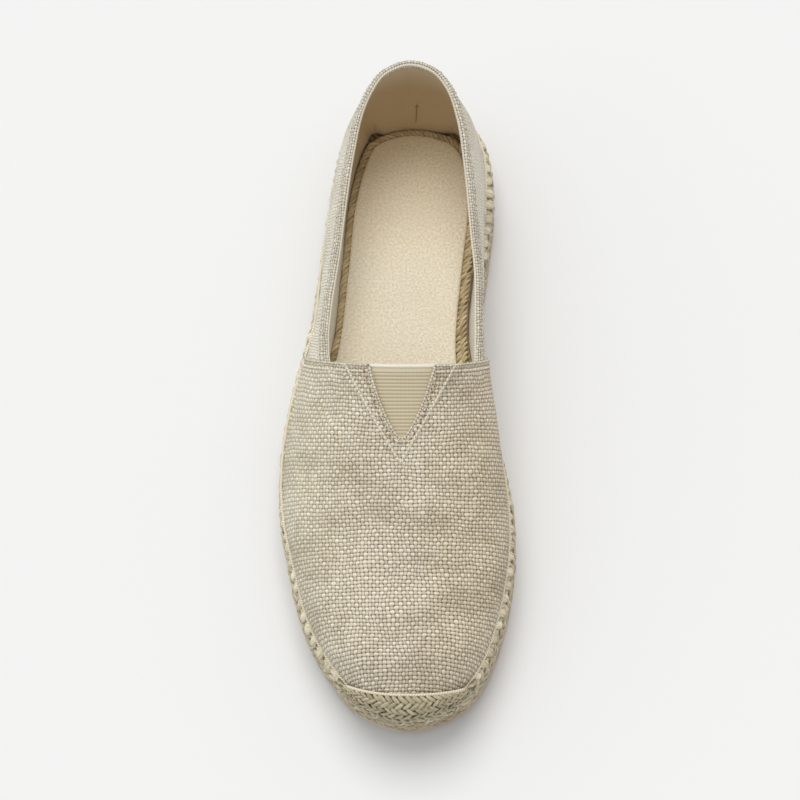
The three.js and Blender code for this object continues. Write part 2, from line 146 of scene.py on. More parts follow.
def ease(x, low, high):
    """0 below `low`, 1 above `high`, and 3t^2 - 2t^3 between."""
    t = np.clip((x - low) / (high - low), 0, 1)
    return t * t * (3 - 2 * t)


def unit(vectors):
    """Vectors scaled to a length of 1."""
    return vectors / np.maximum(np.linalg.norm(vectors, axis=-1, keepdims=True), 1e-9)


def left_of(run):
    """Plan directions turned by a quarter turn to the left."""
    return np.column_stack([-run[:, 1], run[:, 0]])


def looped(loop):
    """A closed outline with its first point again at its end."""
    return np.vstack([loop, loop[:1]])


def spline(knots, closed):
    """A centripetal Catmull-Rom curve: FINE points for each stretch between two knots."""
    knots = np.asarray(knots, float)
    if closed:
        p = np.stack([np.roll(knots, shift, 0) for shift in (1, 0, -1, -2)])
    else:
        ends = np.vstack([2 * knots[0] - knots[1], knots, 2 * knots[-1] - knots[-2]])
        p = np.stack([ends[k:len(ends) - 3 + k] for k in range(4)])
    gaps = np.linalg.norm(np.diff(p, axis=0), axis=2) ** 0.5
    t = np.vstack([np.zeros(gaps.shape[1]), np.cumsum(gaps, 0)])[:, :, None, None]
    u = t[1] + (t[2] - t[1]) * np.linspace(0, 1, FINE, endpoint=False)[None, :, None]
    p = p[:, :, None, :]

    def between(a, b, ta, tb):
        return a * (tb - u) / (tb - ta) + b * (u - ta) / (tb - ta)

    first = [between(p[k], p[k + 1], t[k], t[k + 1]) for k in range(3)]
    second = [between(first[k], first[k + 1], t[k], t[k + 2]) for k in range(2)]
    points = between(second[0], second[1], t[1], t[2]).reshape(-1, knots.shape[1])
    return points if closed else np.vstack([points, knots[-1:]])


def lengths(points):
    """Distance along a polyline at each of its points."""
    steps = np.linalg.norm(np.diff(points, axis=0), axis=1)
    return np.r_[0, np.cumsum(steps)]


def read_path(points, run, where):
    """Values of a path at distances along it; `run` is the distance at each of its points."""
    return np.stack([np.interp(where, run, column) for column in points.T], -1)


def along(points, share):
    """Points at shares 0 to 1 of a polyline's length."""
    run = lengths(points)
    return read_path(points, run, np.asarray(share) * run[-1])


def foot_loop(rows, ends, steps):
    """A closed outline through a table's rows, even by length on each side, from the heel tip
    along the medial side to the toe tip and back along the lateral side."""
    (heel_x, heel_at), (toe_x, toe_at) = ends
    y = HALF - rows["at"]
    medial = np.column_stack([rows["medial"], y])
    lateral = np.column_stack([rows["lateral"], y])[::-1]
    knots = np.vstack([[heel_x, HALF - heel_at], medial, [toe_x, HALF - toe_at], lateral])
    curve = looped(spline(knots, closed=True))
    toe = (len(y) + 1) * FINE
    share = np.linspace(0, 1, steps // 2 + 1)[:-1]
    return np.vstack([along(curve[:toe + 1], share), along(curve[toe:], share)])


def inset(loop, distance):
    """A closed plan outline moved inwards, square to itself."""
    return loop - distance * left_of(unit(np.roll(loop, -1, 0) - np.roll(loop, 1, 0)))


def spring(at):
    """Lift of the toe: a parabola over the last stretch of the sole."""
    return TOE_SPRING * np.clip((at - LENGTH + SPRING_RUN) / SPRING_RUN, 0, 1) ** 2


SOLE_LOOP = foot_loop(SOLE, SOLE_ENDS, 1600)
PERIMETER = lengths(looped(SOLE_LOOP))[-1]


def lifted(loop, height):
    """A plan loop at a height over the sole's own lifted plane."""
    return np.column_stack([loop, height + spring(HALF - loop[:, 1])])


# ---------------------------------------------------------------- the last and the quarter


class Last:
    """The form that the upper follows. `side` is 1 for medial and -1 for lateral."""

    def __init__(self):
        loop = inset(SOLE_LOOP, FEATHER_INSET)
        half = len(loop) // 2
        self.tip = loop[half]
        self.front = HALF - self.tip[1]
        self.edges = {1: loop[:half + 1], -1: looped(loop)[half:][::-1]}

    def edge(self, at, side):
        """x of the lower edge on each side."""
        found = {s: np.interp(at, HALF - e[:, 1], e[:, 0]) for s, e in self.edges.items()}
        return np.where(side > 0, found[1], found[-1])

    def rise(self, at):
        """Ridge height: the table's, closed at the toe by (1 - t^round)^blunt."""
        t = np.clip((at - self.front + TOE_RUN) / TOE_RUN, 0, 1)
        return smooth(at, FORM["at"], FORM["rise"]) * (1 - t ** TOE_ROUND) ** TOE_BLUNT

    def power(self, at, side):
        """The cross-section's exponent."""
        found = [smooth(at, FORM["at"], FORM[name]) for name in ("medial", "lateral")]
        return np.where(side > 0, *found)

    def wall_x(self, at, side, height, width):
        """x from the shares of the half width and, for the swell, of the ridge's height."""
        ridge = smooth(at, FORM["at"], FORM["ridge"])
        found = [smooth(at, SWELL["at"], SWELL[name]) for name in ("medial", "lateral")]
        swell = np.where(side > 0, *found) * np.clip((self.front - at) / SWELL_FADE, 0, 1)
        swell = swell * np.sin(math.pi * (1 - (1 - height) ** SWELL_LOW))
        return ridge + (self.edge(at, side) - ridge) * width + side * swell

    def section(self, at, arc):
        """Cross-section: a superellipse, cos^(2/n) of the arc high and sin^(2/n) of it wide."""
        side = np.where(arc < 0, -1, 1)
        root = 2 / self.power(at, side)
        angle = np.abs(arc) * math.pi / 2
        height = np.where(np.abs(arc) >= 1, 0, np.clip(np.cos(angle), 0, 1) ** root)
        x = self.wall_x(at, side, height, np.sin(angle) ** root)
        y = HALF - at + 0 * x
        z = SEAT + spring(at) + self.rise(at) * height
        closing = at >= self.front - 1e-6
        return np.stack([np.where(closing, self.tip[0], x), y, z], -1)

    def side_x(self, at, side, z):
        """x of the side wall at a height over the ground."""
        height = np.clip((z - SEAT - spring(at)) / self.rise(at), 0, 1)
        n = self.power(at, side)
        return self.wall_x(at, side, height, (1 - height ** n) ** (1 / n))

    def vamp(self, start, arc):
        """A point of the row that crosses the ridge at `start` and leans back as it drops. The
        lean depends on the height there, so `at` is found in rounds that each go half the way."""
        start, arc = np.broadcast_arrays(np.minimum(start, self.front), arc)
        slope = THROAT_SLOPE * np.clip((UPRIGHT_ROW - start) / (UPRIGHT_ROW - THROAT), 0, 1)
        ridge_z = SEAT + spring(start) + self.rise(start)
        at = start.astype(float)
        for _ in range(14):
            at = (at + start - slope * (ridge_z - self.section(at, arc)[..., 2])) / 2
        return self.section(at, arc)


LAST = Last()
DENSE_ARC = np.linspace(-1, 1, 241)


def arc_at(start, x):
    """The arc where the vamp's row at `start` reaches x."""
    rows = LAST.vamp(np.atleast_1d(start)[:, None], DENSE_ARC[None])[..., 0]
    wanted = np.broadcast_to(x, len(rows))
    return np.array([np.interp(w, row, DENSE_ARC) for w, row in zip(wanted, rows)])


def collar_edge(side, share):
    """One side's collar edge, from the heel's middle to under the vamp."""
    name, other = ("medial", "lateral") if side > 0 else ("lateral", "medial")
    knots = np.column_stack([COLLAR[name], HALF - COLLAR[name + "_at"], COLLAR["rise"]])
    beyond = (COLLAR[other][0], HALF - COLLAR[other + "_at"][0], COLLAR["rise"][0])
    back = (COLLAR_BACK[0], HALF - COLLAR_BACK[1], COLLAR_BACK[2])
    curve = spline(np.vstack([beyond, back, knots]), closed=False)
    return along(curve[FINE:], share)


def half_loop(loop, side, end):
    """One side of a foot loop, from the heel tip to the distance `end`."""
    half = len(loop) // 2
    points = loop[:half] if side > 0 else looped(loop)[half:][::-1]
    return points[:np.argmax(HALF - points[:, 1] > end)]


def quarter_side(side, share, up, inset_by):
    """One side of the quarter's wall: straight from foot to collar with a bulge of
    sin(pi up^0.8), eased on to the last's own form near the vamp, then set in."""
    foot = along(half_loop(inset(SOLE_LOOP, FEATHER_INSET), side, QUARTER_FOOT_END), share)
    collar = collar_edge(side, share)
    outward = side * left_of(unit(np.gradient(foot, axis=0)))
    outward[share == 0] = (0, 1)
    bulge = smooth(share, BULGE["at"], BULGE["medial" if side > 0 else "lateral"])
    u = up[:, None, None]
    plan = foot * (1 - u) + collar[:, :2] * u
    plan = plan + outward * bulge[:, None] * np.sin(math.pi * u ** 0.8)
    z = SEAT + (collar[:, 2] - SEAT) * up[:, None]
    form_x = LAST.side_x(HALF - plan[..., 1], side, z)
    plan[..., 0] += ease(share, MEET_START, MEET_END) * (form_x - plan[..., 0])
    return np.concatenate([plan - outward * inset_by, z[..., None]], -1)


def quarter(share, up, inset_by):
    """The quarter's wall as a grid of `up` rows by `share` columns."""
    left, right = share[share < 0], share[share >= 0]
    lateral = quarter_side(-1, -left[::-1], up, inset_by)[:, ::-1]
    return np.concatenate([lateral, quarter_side(1, right, up, inset_by)], 1)


# ---------------------------------------------------------------- surfaces and meshes


def grid_normals(points):
    """Unit normals of a grid: the cross product of its two directions."""
    return unit(np.cross(np.gradient(points, axis=0), np.gradient(points, axis=1)))


def read_grid(grid, row, column):
    """Values of a grid at shares 0 to 1 of its rows and columns, between the four nearest."""
    rows, columns = grid.shape[:2]
    row, column = np.broadcast_arrays(row, column)
    r = np.clip(row, 0, 1) * (rows - 1)
    c = np.clip(column, 0, 1) * (columns - 1)
    i = np.minimum(r.astype(int), rows - 2)
    j = np.minimum(c.astype(int), columns - 2)
    a, b = (r - i)[..., None], (c - j)[..., None]
    low = grid[i, j] * (1 - b) + grid[i, j + 1] * b
    high = grid[i + 1, j] * (1 - b) + grid[i + 1, j + 1] * b
    return low * (1 - a) + high * a


class Surface:
    """A grid of points that can be read anywhere, by shares of its rows and columns. Its rows
    and columns run so that rows x columns points out of the shoe. `uv` is in millimetres."""

    def __init__(self, points, uv=None):
        self.points = points
        self.normals = grid_normals(points)
        self.uv = uv

    def at(self, row, column, out=0.0):
        """Points off the surface by `out`, and the normals there."""
        normal = unit(read_grid(self.normals, row, column))
        return read_grid(self.points, row, column) + normal * np.asarray(out)[..., None], normal

    def sheet(self, row, column, out=0.0, inward=False, skip=None):
        """A mesh part over the surface, at rows and columns that may each be a grid."""
        points, _ = self.at(row, column, out)
        return grid_part(points, read_grid(self.uv, row, column), inward=inward, skip=skip)


class Part:
    """Points in millimetres, faces with four corners, and the UVs of those corners. `caps` are
    arrays of end faces with any other number of corners."""

    def __init__(self, points, faces, corner_uv, caps=()):
        self.points, self.faces, self.corner_uv, self.caps = points, faces, corner_uv, list(caps)


def cells(rows, columns, close_rows=False, close_columns=False):
    """Corner indices of a grid's cells, as rows and columns before they wrap round."""
    i, j = np.meshgrid(np.arange(rows - 1 + close_rows), np.arange(columns - 1 + close_columns),
                       indexing="ij")
    i, j = i.ravel(), j.ravel()
    return np.stack([np.stack([i, j], -1), np.stack([i, j + 1], -1),
                     np.stack([i + 1, j + 1], -1), np.stack([i + 1, j], -1)], 1)


def grid_part(points, uv, inward=False, skip=None, close_rows=False, close_columns=False):
    """A grid of points as quads. `uv` has one more row or column than a direction that closes.
    `skip` is true for the cells that are left out."""
    rows, columns = points.shape[:2]
    corners = cells(rows, columns, close_rows, close_columns)
    if skip is not None:
        corners = corners[~skip[corners[:, 0, 0], corners[:, 0, 1]]]
    if not inward:
        corners = corners[:, ::-1]
    index = (corners[..., 0] % rows) * columns + corners[..., 1] % columns
    corner_uv = uv[corners[..., 0], corners[..., 1]]
    return Part(points.reshape(-1, 3), index, corner_uv)


OWN_UV = 97.0                # step in u from one rope of a part to the next


def ropes(paths, normals, wide, thick, sides=6, closed=False, plump=None, around=1.0):
    """Round or flat tubes along many paths at once. Each ring is an ellipse, `wide` across the
    surface that the path lies on and `thick` off it; `plump` scales the rings along the path.
    UVs run in millimetres along, from a start of its own for each path, and from 0 to `around`
    round the tube."""
    count, steps = paths.shape[:2]
    if closed:
        run = np.roll(paths, -1, 1) - np.roll(paths, 1, 1)
    else:
        run = np.gradient(paths, axis=1)
    run = unit(run)
    across = unit(np.cross(run, normals))
    off = np.cross(across, run)
    turn = TAU * np.arange(sides) / sides
    size = np.ones(steps) if plump is None else np.asarray(plump)
    ring = (across[:, :, None] * np.cos(turn)[:, None] * wide
            + off[:, :, None] * np.sin(turn)[:, None] * thick) * size[..., None, None]
    points = paths[:, :, None] + ring
    legs = np.linalg.norm(np.diff(paths, axis=1, append=paths[:, :1]), axis=-1)
    length = np.concatenate([np.zeros((count, 1)), np.cumsum(legs, 1)], 1)
    corners = cells(steps, sides, close_rows=closed, close_columns=True)[:, ::-1]
    index = (corners[..., 0] % steps) * sides + corners[..., 1] % sides
    start = (np.arange(count) * steps * sides)[:, None, None]
    faces = (index[None] + start).reshape(-1, 4)
    u = length[:, corners[..., 0]] + OWN_UV * np.arange(count)[:, None, None]
    v = np.broadcast_to(corners[..., 1] * (around / sides), u.shape)
    corner_uv = np.stack([u, v], -1).reshape(-1, 4, 2)
    first = np.arange(sides) + start[:, 0]
    last = np.arange(sides)[::-1] + (steps - 1) * sides + start[:, 0]
    return Part(points.reshape(-1, 3), faces, corner_uv, [] if closed else [first, last])


def cord(points, normals, wide, thick, sides=8, **more):
    """One rope along one path."""
    return ropes(points[None], normals[None], wide, thick, sides=sides, **more)


def join(*parts):
    """Several parts as one."""
    starts = np.cumsum([0] + [len(p.points) for p in parts])
    return Part(np.vstack([p.points for p in parts]),
                np.vstack([p.faces + s for p, s in zip(parts, starts)]),
                np.vstack([p.corner_uv for p in parts]),
                [caps + s for p, s in zip(parts, starts) for caps in p.caps])


def add_piece(name, part, finish, replaces=(), wall=None):
    """Puts a part into the scene as a piece of the shoe, in metres, riding on the frame. `wall`
    is the thickness that a sheet gets, inwards from its face."""
    faces = part.faces.tolist()
    for caps in part.caps:
        faces += caps.tolist()
    plain = np.zeros((sum(caps.size for caps in part.caps), 2))
    corner_uv = np.vstack([part.corner_uv.reshape(-1, 2), plain])
    mesh = bpy.data.meshes.new(name)
    mesh.from_pydata((part.points * MM).tolist(), [], faces)
    mesh.uv_layers.new(name="UVMap").data.foreach_set("uv", corner_uv.ravel().astype(np.float32))
    mesh.polygons.foreach_set("use_smooth", np.ones(len(mesh.polygons), bool))
    mesh.materials.append(finish.material)
    piece = bpy.data.objects.new(name, mesh)
    bpy.context.scene.collection.objects.link(piece)
    if wall:
        solid = piece.modifiers.new("cloth", "SOLIDIFY")
        solid.thickness, solid.offset = wall * MM, -1
    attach(piece, "root")
    if replaces:
        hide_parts(*replaces)


# ---------------------------------------------------------------- finishes


class Number:
    """A shader value. Arithmetic on it adds Math nodes to its finish."""

    def __init__(self, finish, socket):
        self.finish, self.socket = finish, socket

    def __add__(self, other):
        return self.finish.math("ADD", self, other)

    def __sub__(self, other):
        return self.finish.math("SUBTRACT", self, other)

    def __rsub__(self, other):
        return self.finish.math("SUBTRACT", other, self)

    def __mul__(self, other):
        return self.finish.math("MULTIPLY", self, other)

    def __truediv__(self, other):
        return self.finish.math("DIVIDE", self, other)

    def __rtruediv__(self, other):
        return self.finish.math("DIVIDE", other, self)

    __radd__, __rmul__ = __add__, __mul__


def light_values(color):
    """A colour given as 0 to 255 on screen, as the shader's light values."""
    return tuple(((c / 255 + 0.055) / 1.055) ** 2.4 for c in color) + (1.0,)


class Finish:
    """A material, and the one way that its nodes are made."""

    def __init__(self, name, **shader):
        self.material = bpy.data.materials.new(name)
        self.material.use_nodes = True
        self.tree = self.material.node_tree
        self.tree.nodes.clear()
        self.shader = self.node("BsdfPrincipled", **shader)
        self.node("OutputMaterial", Surface=self.shader.outputs["BSDF"])

    def node(self, kind, settings=None, inputs=None, **named):
        """Any node: its settings first, then values or links for its sockets."""
        made = self.tree.nodes.new("ShaderNode" + kind)
        for key, value in (settings or {}).items():
            setattr(made, key, value)
        sockets = {**(inputs or {}), **{k.replace("_", " "): v for k, v in named.items()}}
        for key, value in sockets.items():
            self.feed(made.inputs[key], value)
        return made

    def feed(self, socket, value):
        """Links a socket to a value made by nodes, or sets it. Three numbers are a colour."""
        if isinstance(value, Number):
            value = value.socket
        if isinstance(value, bpy.types.NodeSocket):
            self.tree.links.new(value, socket)
        elif isinstance(value, tuple) and len(value) == 3:
            socket.default_value = light_values(value)
        else:
            socket.default_value = value

    def math(self, operation, *values):
        """A Math node on one or two values."""
        made = self.node("Math", {"operation": operation}, dict(enumerate(values)))
        return Number(self, made.outputs[0])

    def coordinates(self, source):
        """The three numbers of the object's own coordinates, in millimetres, or of its UVs."""
        vector = self.node("TexCoord").outputs[source]
        numbers = [Number(self, out) for out in self.node("SeparateXYZ", Vector=vector).outputs]
        return [number * (1 / MM) for number in numbers] if source == "Object" else numbers

    def noise(self, *place, detail=2.0, roughness=0.5):
        """Soft noise from 0 to 1 around 0.5, at a place given by three numbers."""
        vector = self.node("CombineXYZ", inputs=dict(enumerate(place))).outputs[0]
        made = self.node("TexNoise", Vector=vector, Scale=1.0, Detail=detail, Roughness=roughness)
        return Number(self, made.outputs[0])

    def step(self, value, low, high):
        """0 below `low`, 1 above `high`, and straight between."""
        made = self.node("MapRange", {"clamp": True}, Value=value, From_Min=low, From_Max=high)
        return Number(self, made.outputs[0])

    def blend(self, share, first, second, way="MIX"):
        """A colour between two, or the first with so much of the second multiplied in, by a share
        from 0 to 1. A Mix node has its share in socket 0 and its colours in 6 and 7."""
        made = self.node("Mix", {"data_type": "RGBA", "blend_type": way},
                         {0: share, 6: first, 7: second})
        return made.outputs[2]

    def show(self, color, roughness=None, height=None, depth=0.0002):
        """Feeds the shader's colour, roughness and bump; `depth` is in metres."""
        self.feed(self.shader.inputs["Base Color"], color)
        if roughness is not None:
            self.feed(self.shader.inputs["Roughness"], roughness)
        if height is not None:
            bump = self.node("Bump", Strength=1.0, Distance=depth, Height=height)
            self.feed(self.shader.inputs["Normal"], bump.outputs[0])
        return self


def linen(name, pitch, light, mid, dark, contrast=1.0, painted_side_shading=0.0):
    """Plain-weave linen on the piece's UVs. Two sets of threads |sin(pi u / pitch)| pass over and
    under by the sign of their product. The cross threads float paler, the gaps between their rows
    are dark, each thread keeps its own shade, and both sets thicken in slubs. The last argument is
    how strongly light and shade are painted in by side: towards the medial side the cloth is
    painted a darker olive, which is painted shade, and towards the lateral side a cooler grey with
    faded gaps, which is the side light painted in."""
    f = Finish(name, Roughness=0.92, Sheen_Weight=0.2, Sheen_Roughness=0.6, IOR=1.4)
    u, v, _ = f.coordinates("UV")
    sway = f.noise(u * 0.07, v * 0.07, 0.0) - 0.5
    bow = f.noise(v * 0.05, u * 0.05, 7.0) - 0.5
    jitter = f.noise(u * 0.45, v * 0.45, 2.0, detail=1.0) - 0.5
    across = u / pitch + sway * 3.0 + jitter * 0.35
    down = v / pitch + bow * 1.6 - jitter * 0.3
    warp = f.math("SINE", across * math.pi)
    weft = f.math("SINE", down * math.pi)
    side = f.math("MAXIMUM", f.math("MINIMUM", warp * weft * 4.0, 1.0), -1.0)
    warp, weft = f.math("ABSOLUTE", warp), f.math("ABSOLUTE", weft)
    warp_id, weft_id = f.math("FLOOR", across), f.math("FLOOR", down)
    warp_shade = f.noise(warp_id * 3.7, v * 0.08, 1.0)
    weft_shade = f.noise(weft_id * 3.7, u * 0.08, 9.0)
    nub_shade = f.noise(warp_id * 5.3, weft_id * 5.3, 4.0, detail=0.0)
    warp_top = warp * (1 + weft * side) * 0.5
    weft_top = weft * (1 - warp * side) * 0.5
    over = f.step(side, -0.35, 0.35)
    slub = f.noise(u * 0.35, v * 0.7, 3.0, detail=3.0, roughness=0.65)
    shade = (warp_shade * over + weft_shade * (1 - over)) * 0.45 + nub_shade * 0.55
    height = f.math("MAXIMUM", warp_top * 0.9, weft_top) * (0.7 + slub * 0.6)
    fibre = f.noise(u * 3.0, v * 4.5, 5.0, detail=3.0, roughness=0.7)
    lit = (1 - over) * 0.42 + f.step(shade, 0.3, 0.68) * 0.5 + (fibre - 0.5) * 0.45 - 0.03
    rows = 1 - f.step(weft + (slub - 0.5) * 0.6, 0.08, 0.72)
    columns = 1 - f.step(warp + (nub_shade - 0.5) * 0.6, 0.05, 0.66)
    gap = rows * (0.42 + over * 0.16) + columns * (0.18 + over * 0.32) + rows * columns * 0.7
    if painted_side_shading:
        x, _, _ = f.coordinates("Object")
        # Painted light and shade by side: the lateral mask paints light and fades the gaps, the
        # medial mask paints shade.
        lateral, medial = 1 - f.step(x, -46.0, -8.0), f.step(x, 8.0, 46.0)
        gap = gap * (1 - lateral * 0.36)
    color = f.blend(f.step(lit, 0.1, 0.85), mid, light)
    color = f.blend(f.math("MINIMUM", gap * contrast, 0.95), color, dark)
    cloud = f.noise(u * 0.035, v * 0.06, 11.0, detail=3.0, roughness=0.6)
    color = f.blend(f.step(cloud, 0.42, 0.72) * 0.36, color, (150, 136, 104), "MULTIPLY")
    if painted_side_shading:
        # Painted shade on the medial side, and the cool side light painted in on the lateral side.
        color = f.blend(medial * painted_side_shading, color, (224, 212, 180), "MULTIPLY")
        color = f.blend(lateral * painted_side_shading, color, (232, 236, 222), "MULTIPLY")
    return f.show(color, height=height + fibre * 0.1, depth=0.0005)


def jute(name, light, mid, dark, low=(206, 190, 160), depth=0.0003):
    """Jute strands on rope UVs: long fibres that turn slowly round the strand, with shade painted
    down its flanks and underside; strands differ in tone, and near the ground they are painted
    darker and duller, which is painted shade."""
    f = Finish(name, Roughness=0.95, Sheen_Weight=0.2, Sheen_Roughness=0.5, IOR=1.4)
    u, v, _ = f.coordinates("UV")
    x, y, z = f.coordinates("Object")
    turn = v * TAU + u * 0.45
    round_x, round_y = f.math("COSINE", turn), f.math("SINE", turn)
    fibre = f.noise(u * 0.22, round_x * 2.6, round_y * 2.6, detail=4.0, roughness=0.75)
    own = f.noise(f.math("FLOOR", u / OWN_UV) * 3.7, 1.0, 5.0, detail=0.0)
    # Painted shade down each strand's flanks and underside, where sin(v tau) is low.
    painted_side_shading = 1 - f.step(f.math("SINE", v * TAU), 0.1, 0.72)
    patch = f.noise(x * 0.16, y * 0.16, z * 0.16, detail=3.0)
    color = f.blend(f.step(fibre + (own - 0.5) * 0.5, 0.36, 0.66), mid, light)
    color = f.blend((1 - f.step(fibre, 0.3, 0.47)) * 0.55, color, dark)
    color = f.blend(painted_side_shading * 0.68, color, dark)
    # Painted shade: darker and duller towards the ground, by the colour `low`.
    color = f.blend((1 - f.step(z, 4.0, 19.0)) * 0.4, color, low, "MULTIPLY")
    color = f.blend(f.step(patch, 0.45, 0.7) * 0.3, color, (166, 150, 122), "MULTIPLY")
    return f.show(color, height=fibre, depth=depth)


def plain_jute(name):
    """The matted body of a rope sole: slanting strands on object coordinates."""
    f = Finish(name, Roughness=0.95, IOR=1.4)
    x, y, z = f.coordinates("Object")
    wander = f.noise(x * 0.12, y * 0.12, z * 0.12) * 4.0
    strand = f.math("SINE", (x + y * 0.8 + z * 0.5 + wander) * (TAU / 3.2)) * 0.5 + 0.5
    fibre = f.noise(x * 1.4, y * 0.5, z * 0.8, detail=4.0, roughness=0.7)
    height = strand * 0.6 + fibre * 0.6
    color = f.blend(f.step(height, 0.2, 0.9), (112, 93, 62), (172, 153, 112))
    return f.show(color, height=height, depth=0.0006)


def footbed_cloth(name, light, dark):
    """Close, matt, slightly pebbled cotton on UVs, with fine specks and faint crossing threads;
    towards the heel it is painted warmer and a little darker, as the shade and warm bounce light
    there."""
    f = Finish(name, Roughness=0.9, Sheen_Weight=0.15, Sheen_Roughness=0.6, IOR=1.4)
    u, v, _ = f.coordinates("UV")
    speck = f.noise(u * 1.1, v * 1.1, 0.0, detail=3.0, roughness=0.8)
    thread = f.math("SINE", (u + v * 0.2) * (TAU / 0.9))
    thread = thread * f.math("SINE", (v - u * 0.2) * (TAU / 0.9))
    cloud = f.noise(u * 0.04, v * 0.04, 4.0, detail=3.0)
    height = speck + thread * 0.12
    color = f.blend(f.step(height, 0.38, 0.62), dark, light)
    color = f.blend(f.step(cloud, 0.45, 0.75) * 0.2, color, (222, 207, 176))
    _, y, _ = f.coordinates("Object")
    # Painted shade and warm bounce light towards the heel.
    color = f.blend(f.step(y, 55.0, 125.0) * 0.8, color, (255, 246, 228), "MULTIPLY")
    return f.show(color, height=height, depth=0.0003)


def lining_cloth(name):
    """Smooth cotton on UVs; low down round the heel it is painted a darker warm tan, as the shade
    and warm bounce light there.
    """
    f = Finish(name, Roughness=0.88, Sheen_Weight=0.2, Sheen_Roughness=0.6, IOR=1.4)
    u, v, _ = f.coordinates("UV")
    _, y, z = f.coordinates("Object")
    thread = f.math("SINE", u * (TAU / 0.8)) + f.math("SINE", v * (TAU / 0.8))
    speck = f.noise(u * 1.2, v * 1.2, 0.0, detail=3.0, roughness=0.7)
    cloud = f.noise(u * 0.06, v * 0.06, 4.0, detail=3.0)
    # Painted shade and warm bounce light: darker and warmer low down round the heel.
    painted_heel_shade = f.step(y + (cloud - 0.5) * 40.0, 62.0, 118.0) * (1 - f.step(z, 46.0, 84.0) * 0.35)
    color = f.blend(f.step(speck, 0.3, 0.7), (232, 224, 206), (246, 240, 226))
    color = f.blend(painted_heel_shade * 0.95, color, (206, 180, 138))
    return f.show(color, height=thread * 0.1 + speck * 0.6, depth=0.00015)


def sewing_thread(name, light, dark):
    """Two-ply thread on rope UVs."""
    f = Finish(name, Roughness=0.7, Sheen_Weight=0.3, IOR=1.45)
    u, v, _ = f.coordinates("UV")
    ply = f.math("SINE", (v * 2.0 - u / 1.1) * TAU) * 0.5 + 0.5
    speck = f.noise(u * 2.0, v * 6.0, 0.0)
    color = f.blend(f.step(ply + speck * 0.5, 0.2, 1.0), dark, light)
    return f.show(color, height=ply, depth=0.0001)


def elastic_webbing(name):
    """Ribbed elastic: the ribs are in the mesh, and each carries fine cross threads. Its top
    fold is paler."""
    f = Finish(name, Roughness=0.75, Sheen_Weight=0.15, IOR=1.45)
    u, v, _ = f.coordinates("UV")
    thread = f.math("SINE", u * (TAU / 0.55)) * 0.5 + 0.5
    rib = f.math("SINE", v * (TAU / GORE_PITCH)) * 0.5 + 0.5
    speck = f.noise(u * 1.2, v * 1.2, 0.0, detail=3.0)
    color = f.blend(f.step(rib + (speck - 0.5) * 0.4, 0.1, 0.8), (196, 182, 152), (214, 202, 175))
    color = f.blend(thread * 0.22, color, (170, 155, 122))
    band = 1 - f.step(v, GORE_BAND - 0.3, GORE_BAND + 0.3)
    color = f.blend(band * 0.7, color, (228, 217, 190))
    return f.show(color, height=thread + speck * 0.4, depth=0.00008)


def natural_rubber(name):
    """Matt moulded rubber: cloudy, with a fine pebble and dust in its hollows."""
    f = Finish(name, Roughness=0.72, IOR=1.5)
    x, y, z = f.coordinates("Object")
    cloud = f.noise(x * 0.05, y * 0.05, z * 0.2, detail=4.0)
    pebble = f.noise(x * 2.2, y * 2.2, z * 2.2, detail=3.0, roughness=0.6)
    color = f.blend(f.step(cloud, 0.3, 0.7), (190, 170, 148), (212, 195, 176))
    color = f.blend(f.step(pebble, 0.5, 0.8) * 0.2, color, (168, 148, 124))
    return f.show(color, roughness=0.62 + pebble * 0.2, height=pebble, depth=0.0002)


LINEN = linen("linen", 1.54, (255, 246, 228), (216, 202, 176), (82, 64, 40), painted_side_shading=0.38)
LINEN_BAND = linen("linen_band", 1.3, (255, 250, 236), (230, 219, 198), (88, 74, 52))
LINEN_FOLD = linen("linen_fold", 1.3, (254, 246, 228), (216, 202, 176), (84, 66, 42), 0.9)
LINEN_SIDE = linen("linen_side", 1.4, (255, 251, 237), (243, 234, 214), (116, 99, 71), 0.76)
JUTE = jute("jute_braid", (228, 218, 194), (186, 172, 140), (70, 56, 36))
JUTE_PALE = jute("jute_beads", (246, 237, 214), (214, 202, 172), (104, 88, 62))
JUTE_CORE = plain_jute("jute_core")
JUTE_FINE = jute("jute_toe", (212, 202, 174), (174, 162, 130), (78, 64, 42), depth=0.0002)
JUTE_DARK = jute("jute_inner", (234, 215, 174), (184, 161, 118), (74, 56, 34), (220, 204, 170))
LINING = lining_cloth("cotton_lining")
FOOTBED = footbed_cloth("footbed_cloth", (255, 249, 234), (218, 203, 174))
THREAD = sewing_thread("cream_thread", (240, 233, 216), (198, 186, 160))
THREAD_TAN = sewing_thread("tan_thread", (170, 146, 112), (118, 96, 68))
JUTE_THREAD = sewing_thread("jute_thread", (243, 235, 214), (196, 183, 154))
ELASTIC = elastic_webbing("ribbed_elastic")
RUBBER = natural_rubber("natural_rubber")

# ---------------------------------------------------------------- the camera and the light

SKY, KEY, SIDE = 0.53, 1.58, 0.4     # strengths of the sky and the two lights
FLOOR = 6.0                          # half the floor's side, in metres


def turned(forward, right):
    """The turn of something that looks along `forward` with its own X axis near `right`."""
    forward = Vector(forward).normalized()
    right = Vector(right)
    right = (right - forward * right.dot(forward)).normalized()
    up = right.cross(forward)
    return Matrix((right, up, -forward)).transposed().to_quaternion()


def point_camera():
    """The camera stands in front of the toe and high over it, a little to the medial side."""
    place = Vector((53.2, -393.4, 981.3)) * MM
    aim = Vector((1.0, -3.5, 26.0)) * MM
    camera = bpy.data.objects.new("camera", bpy.data.cameras.new("camera"))
    camera.data.lens, camera.data.sensor_width = 111.0, 36.0
    camera.location = place
    camera.rotation_mode = "QUATERNION"
    camera.rotation_quaternion = turned(aim - place, (1, 0, 0))
    bpy.context.scene.collection.objects.link(camera)
    bpy.context.scene.camera = camera


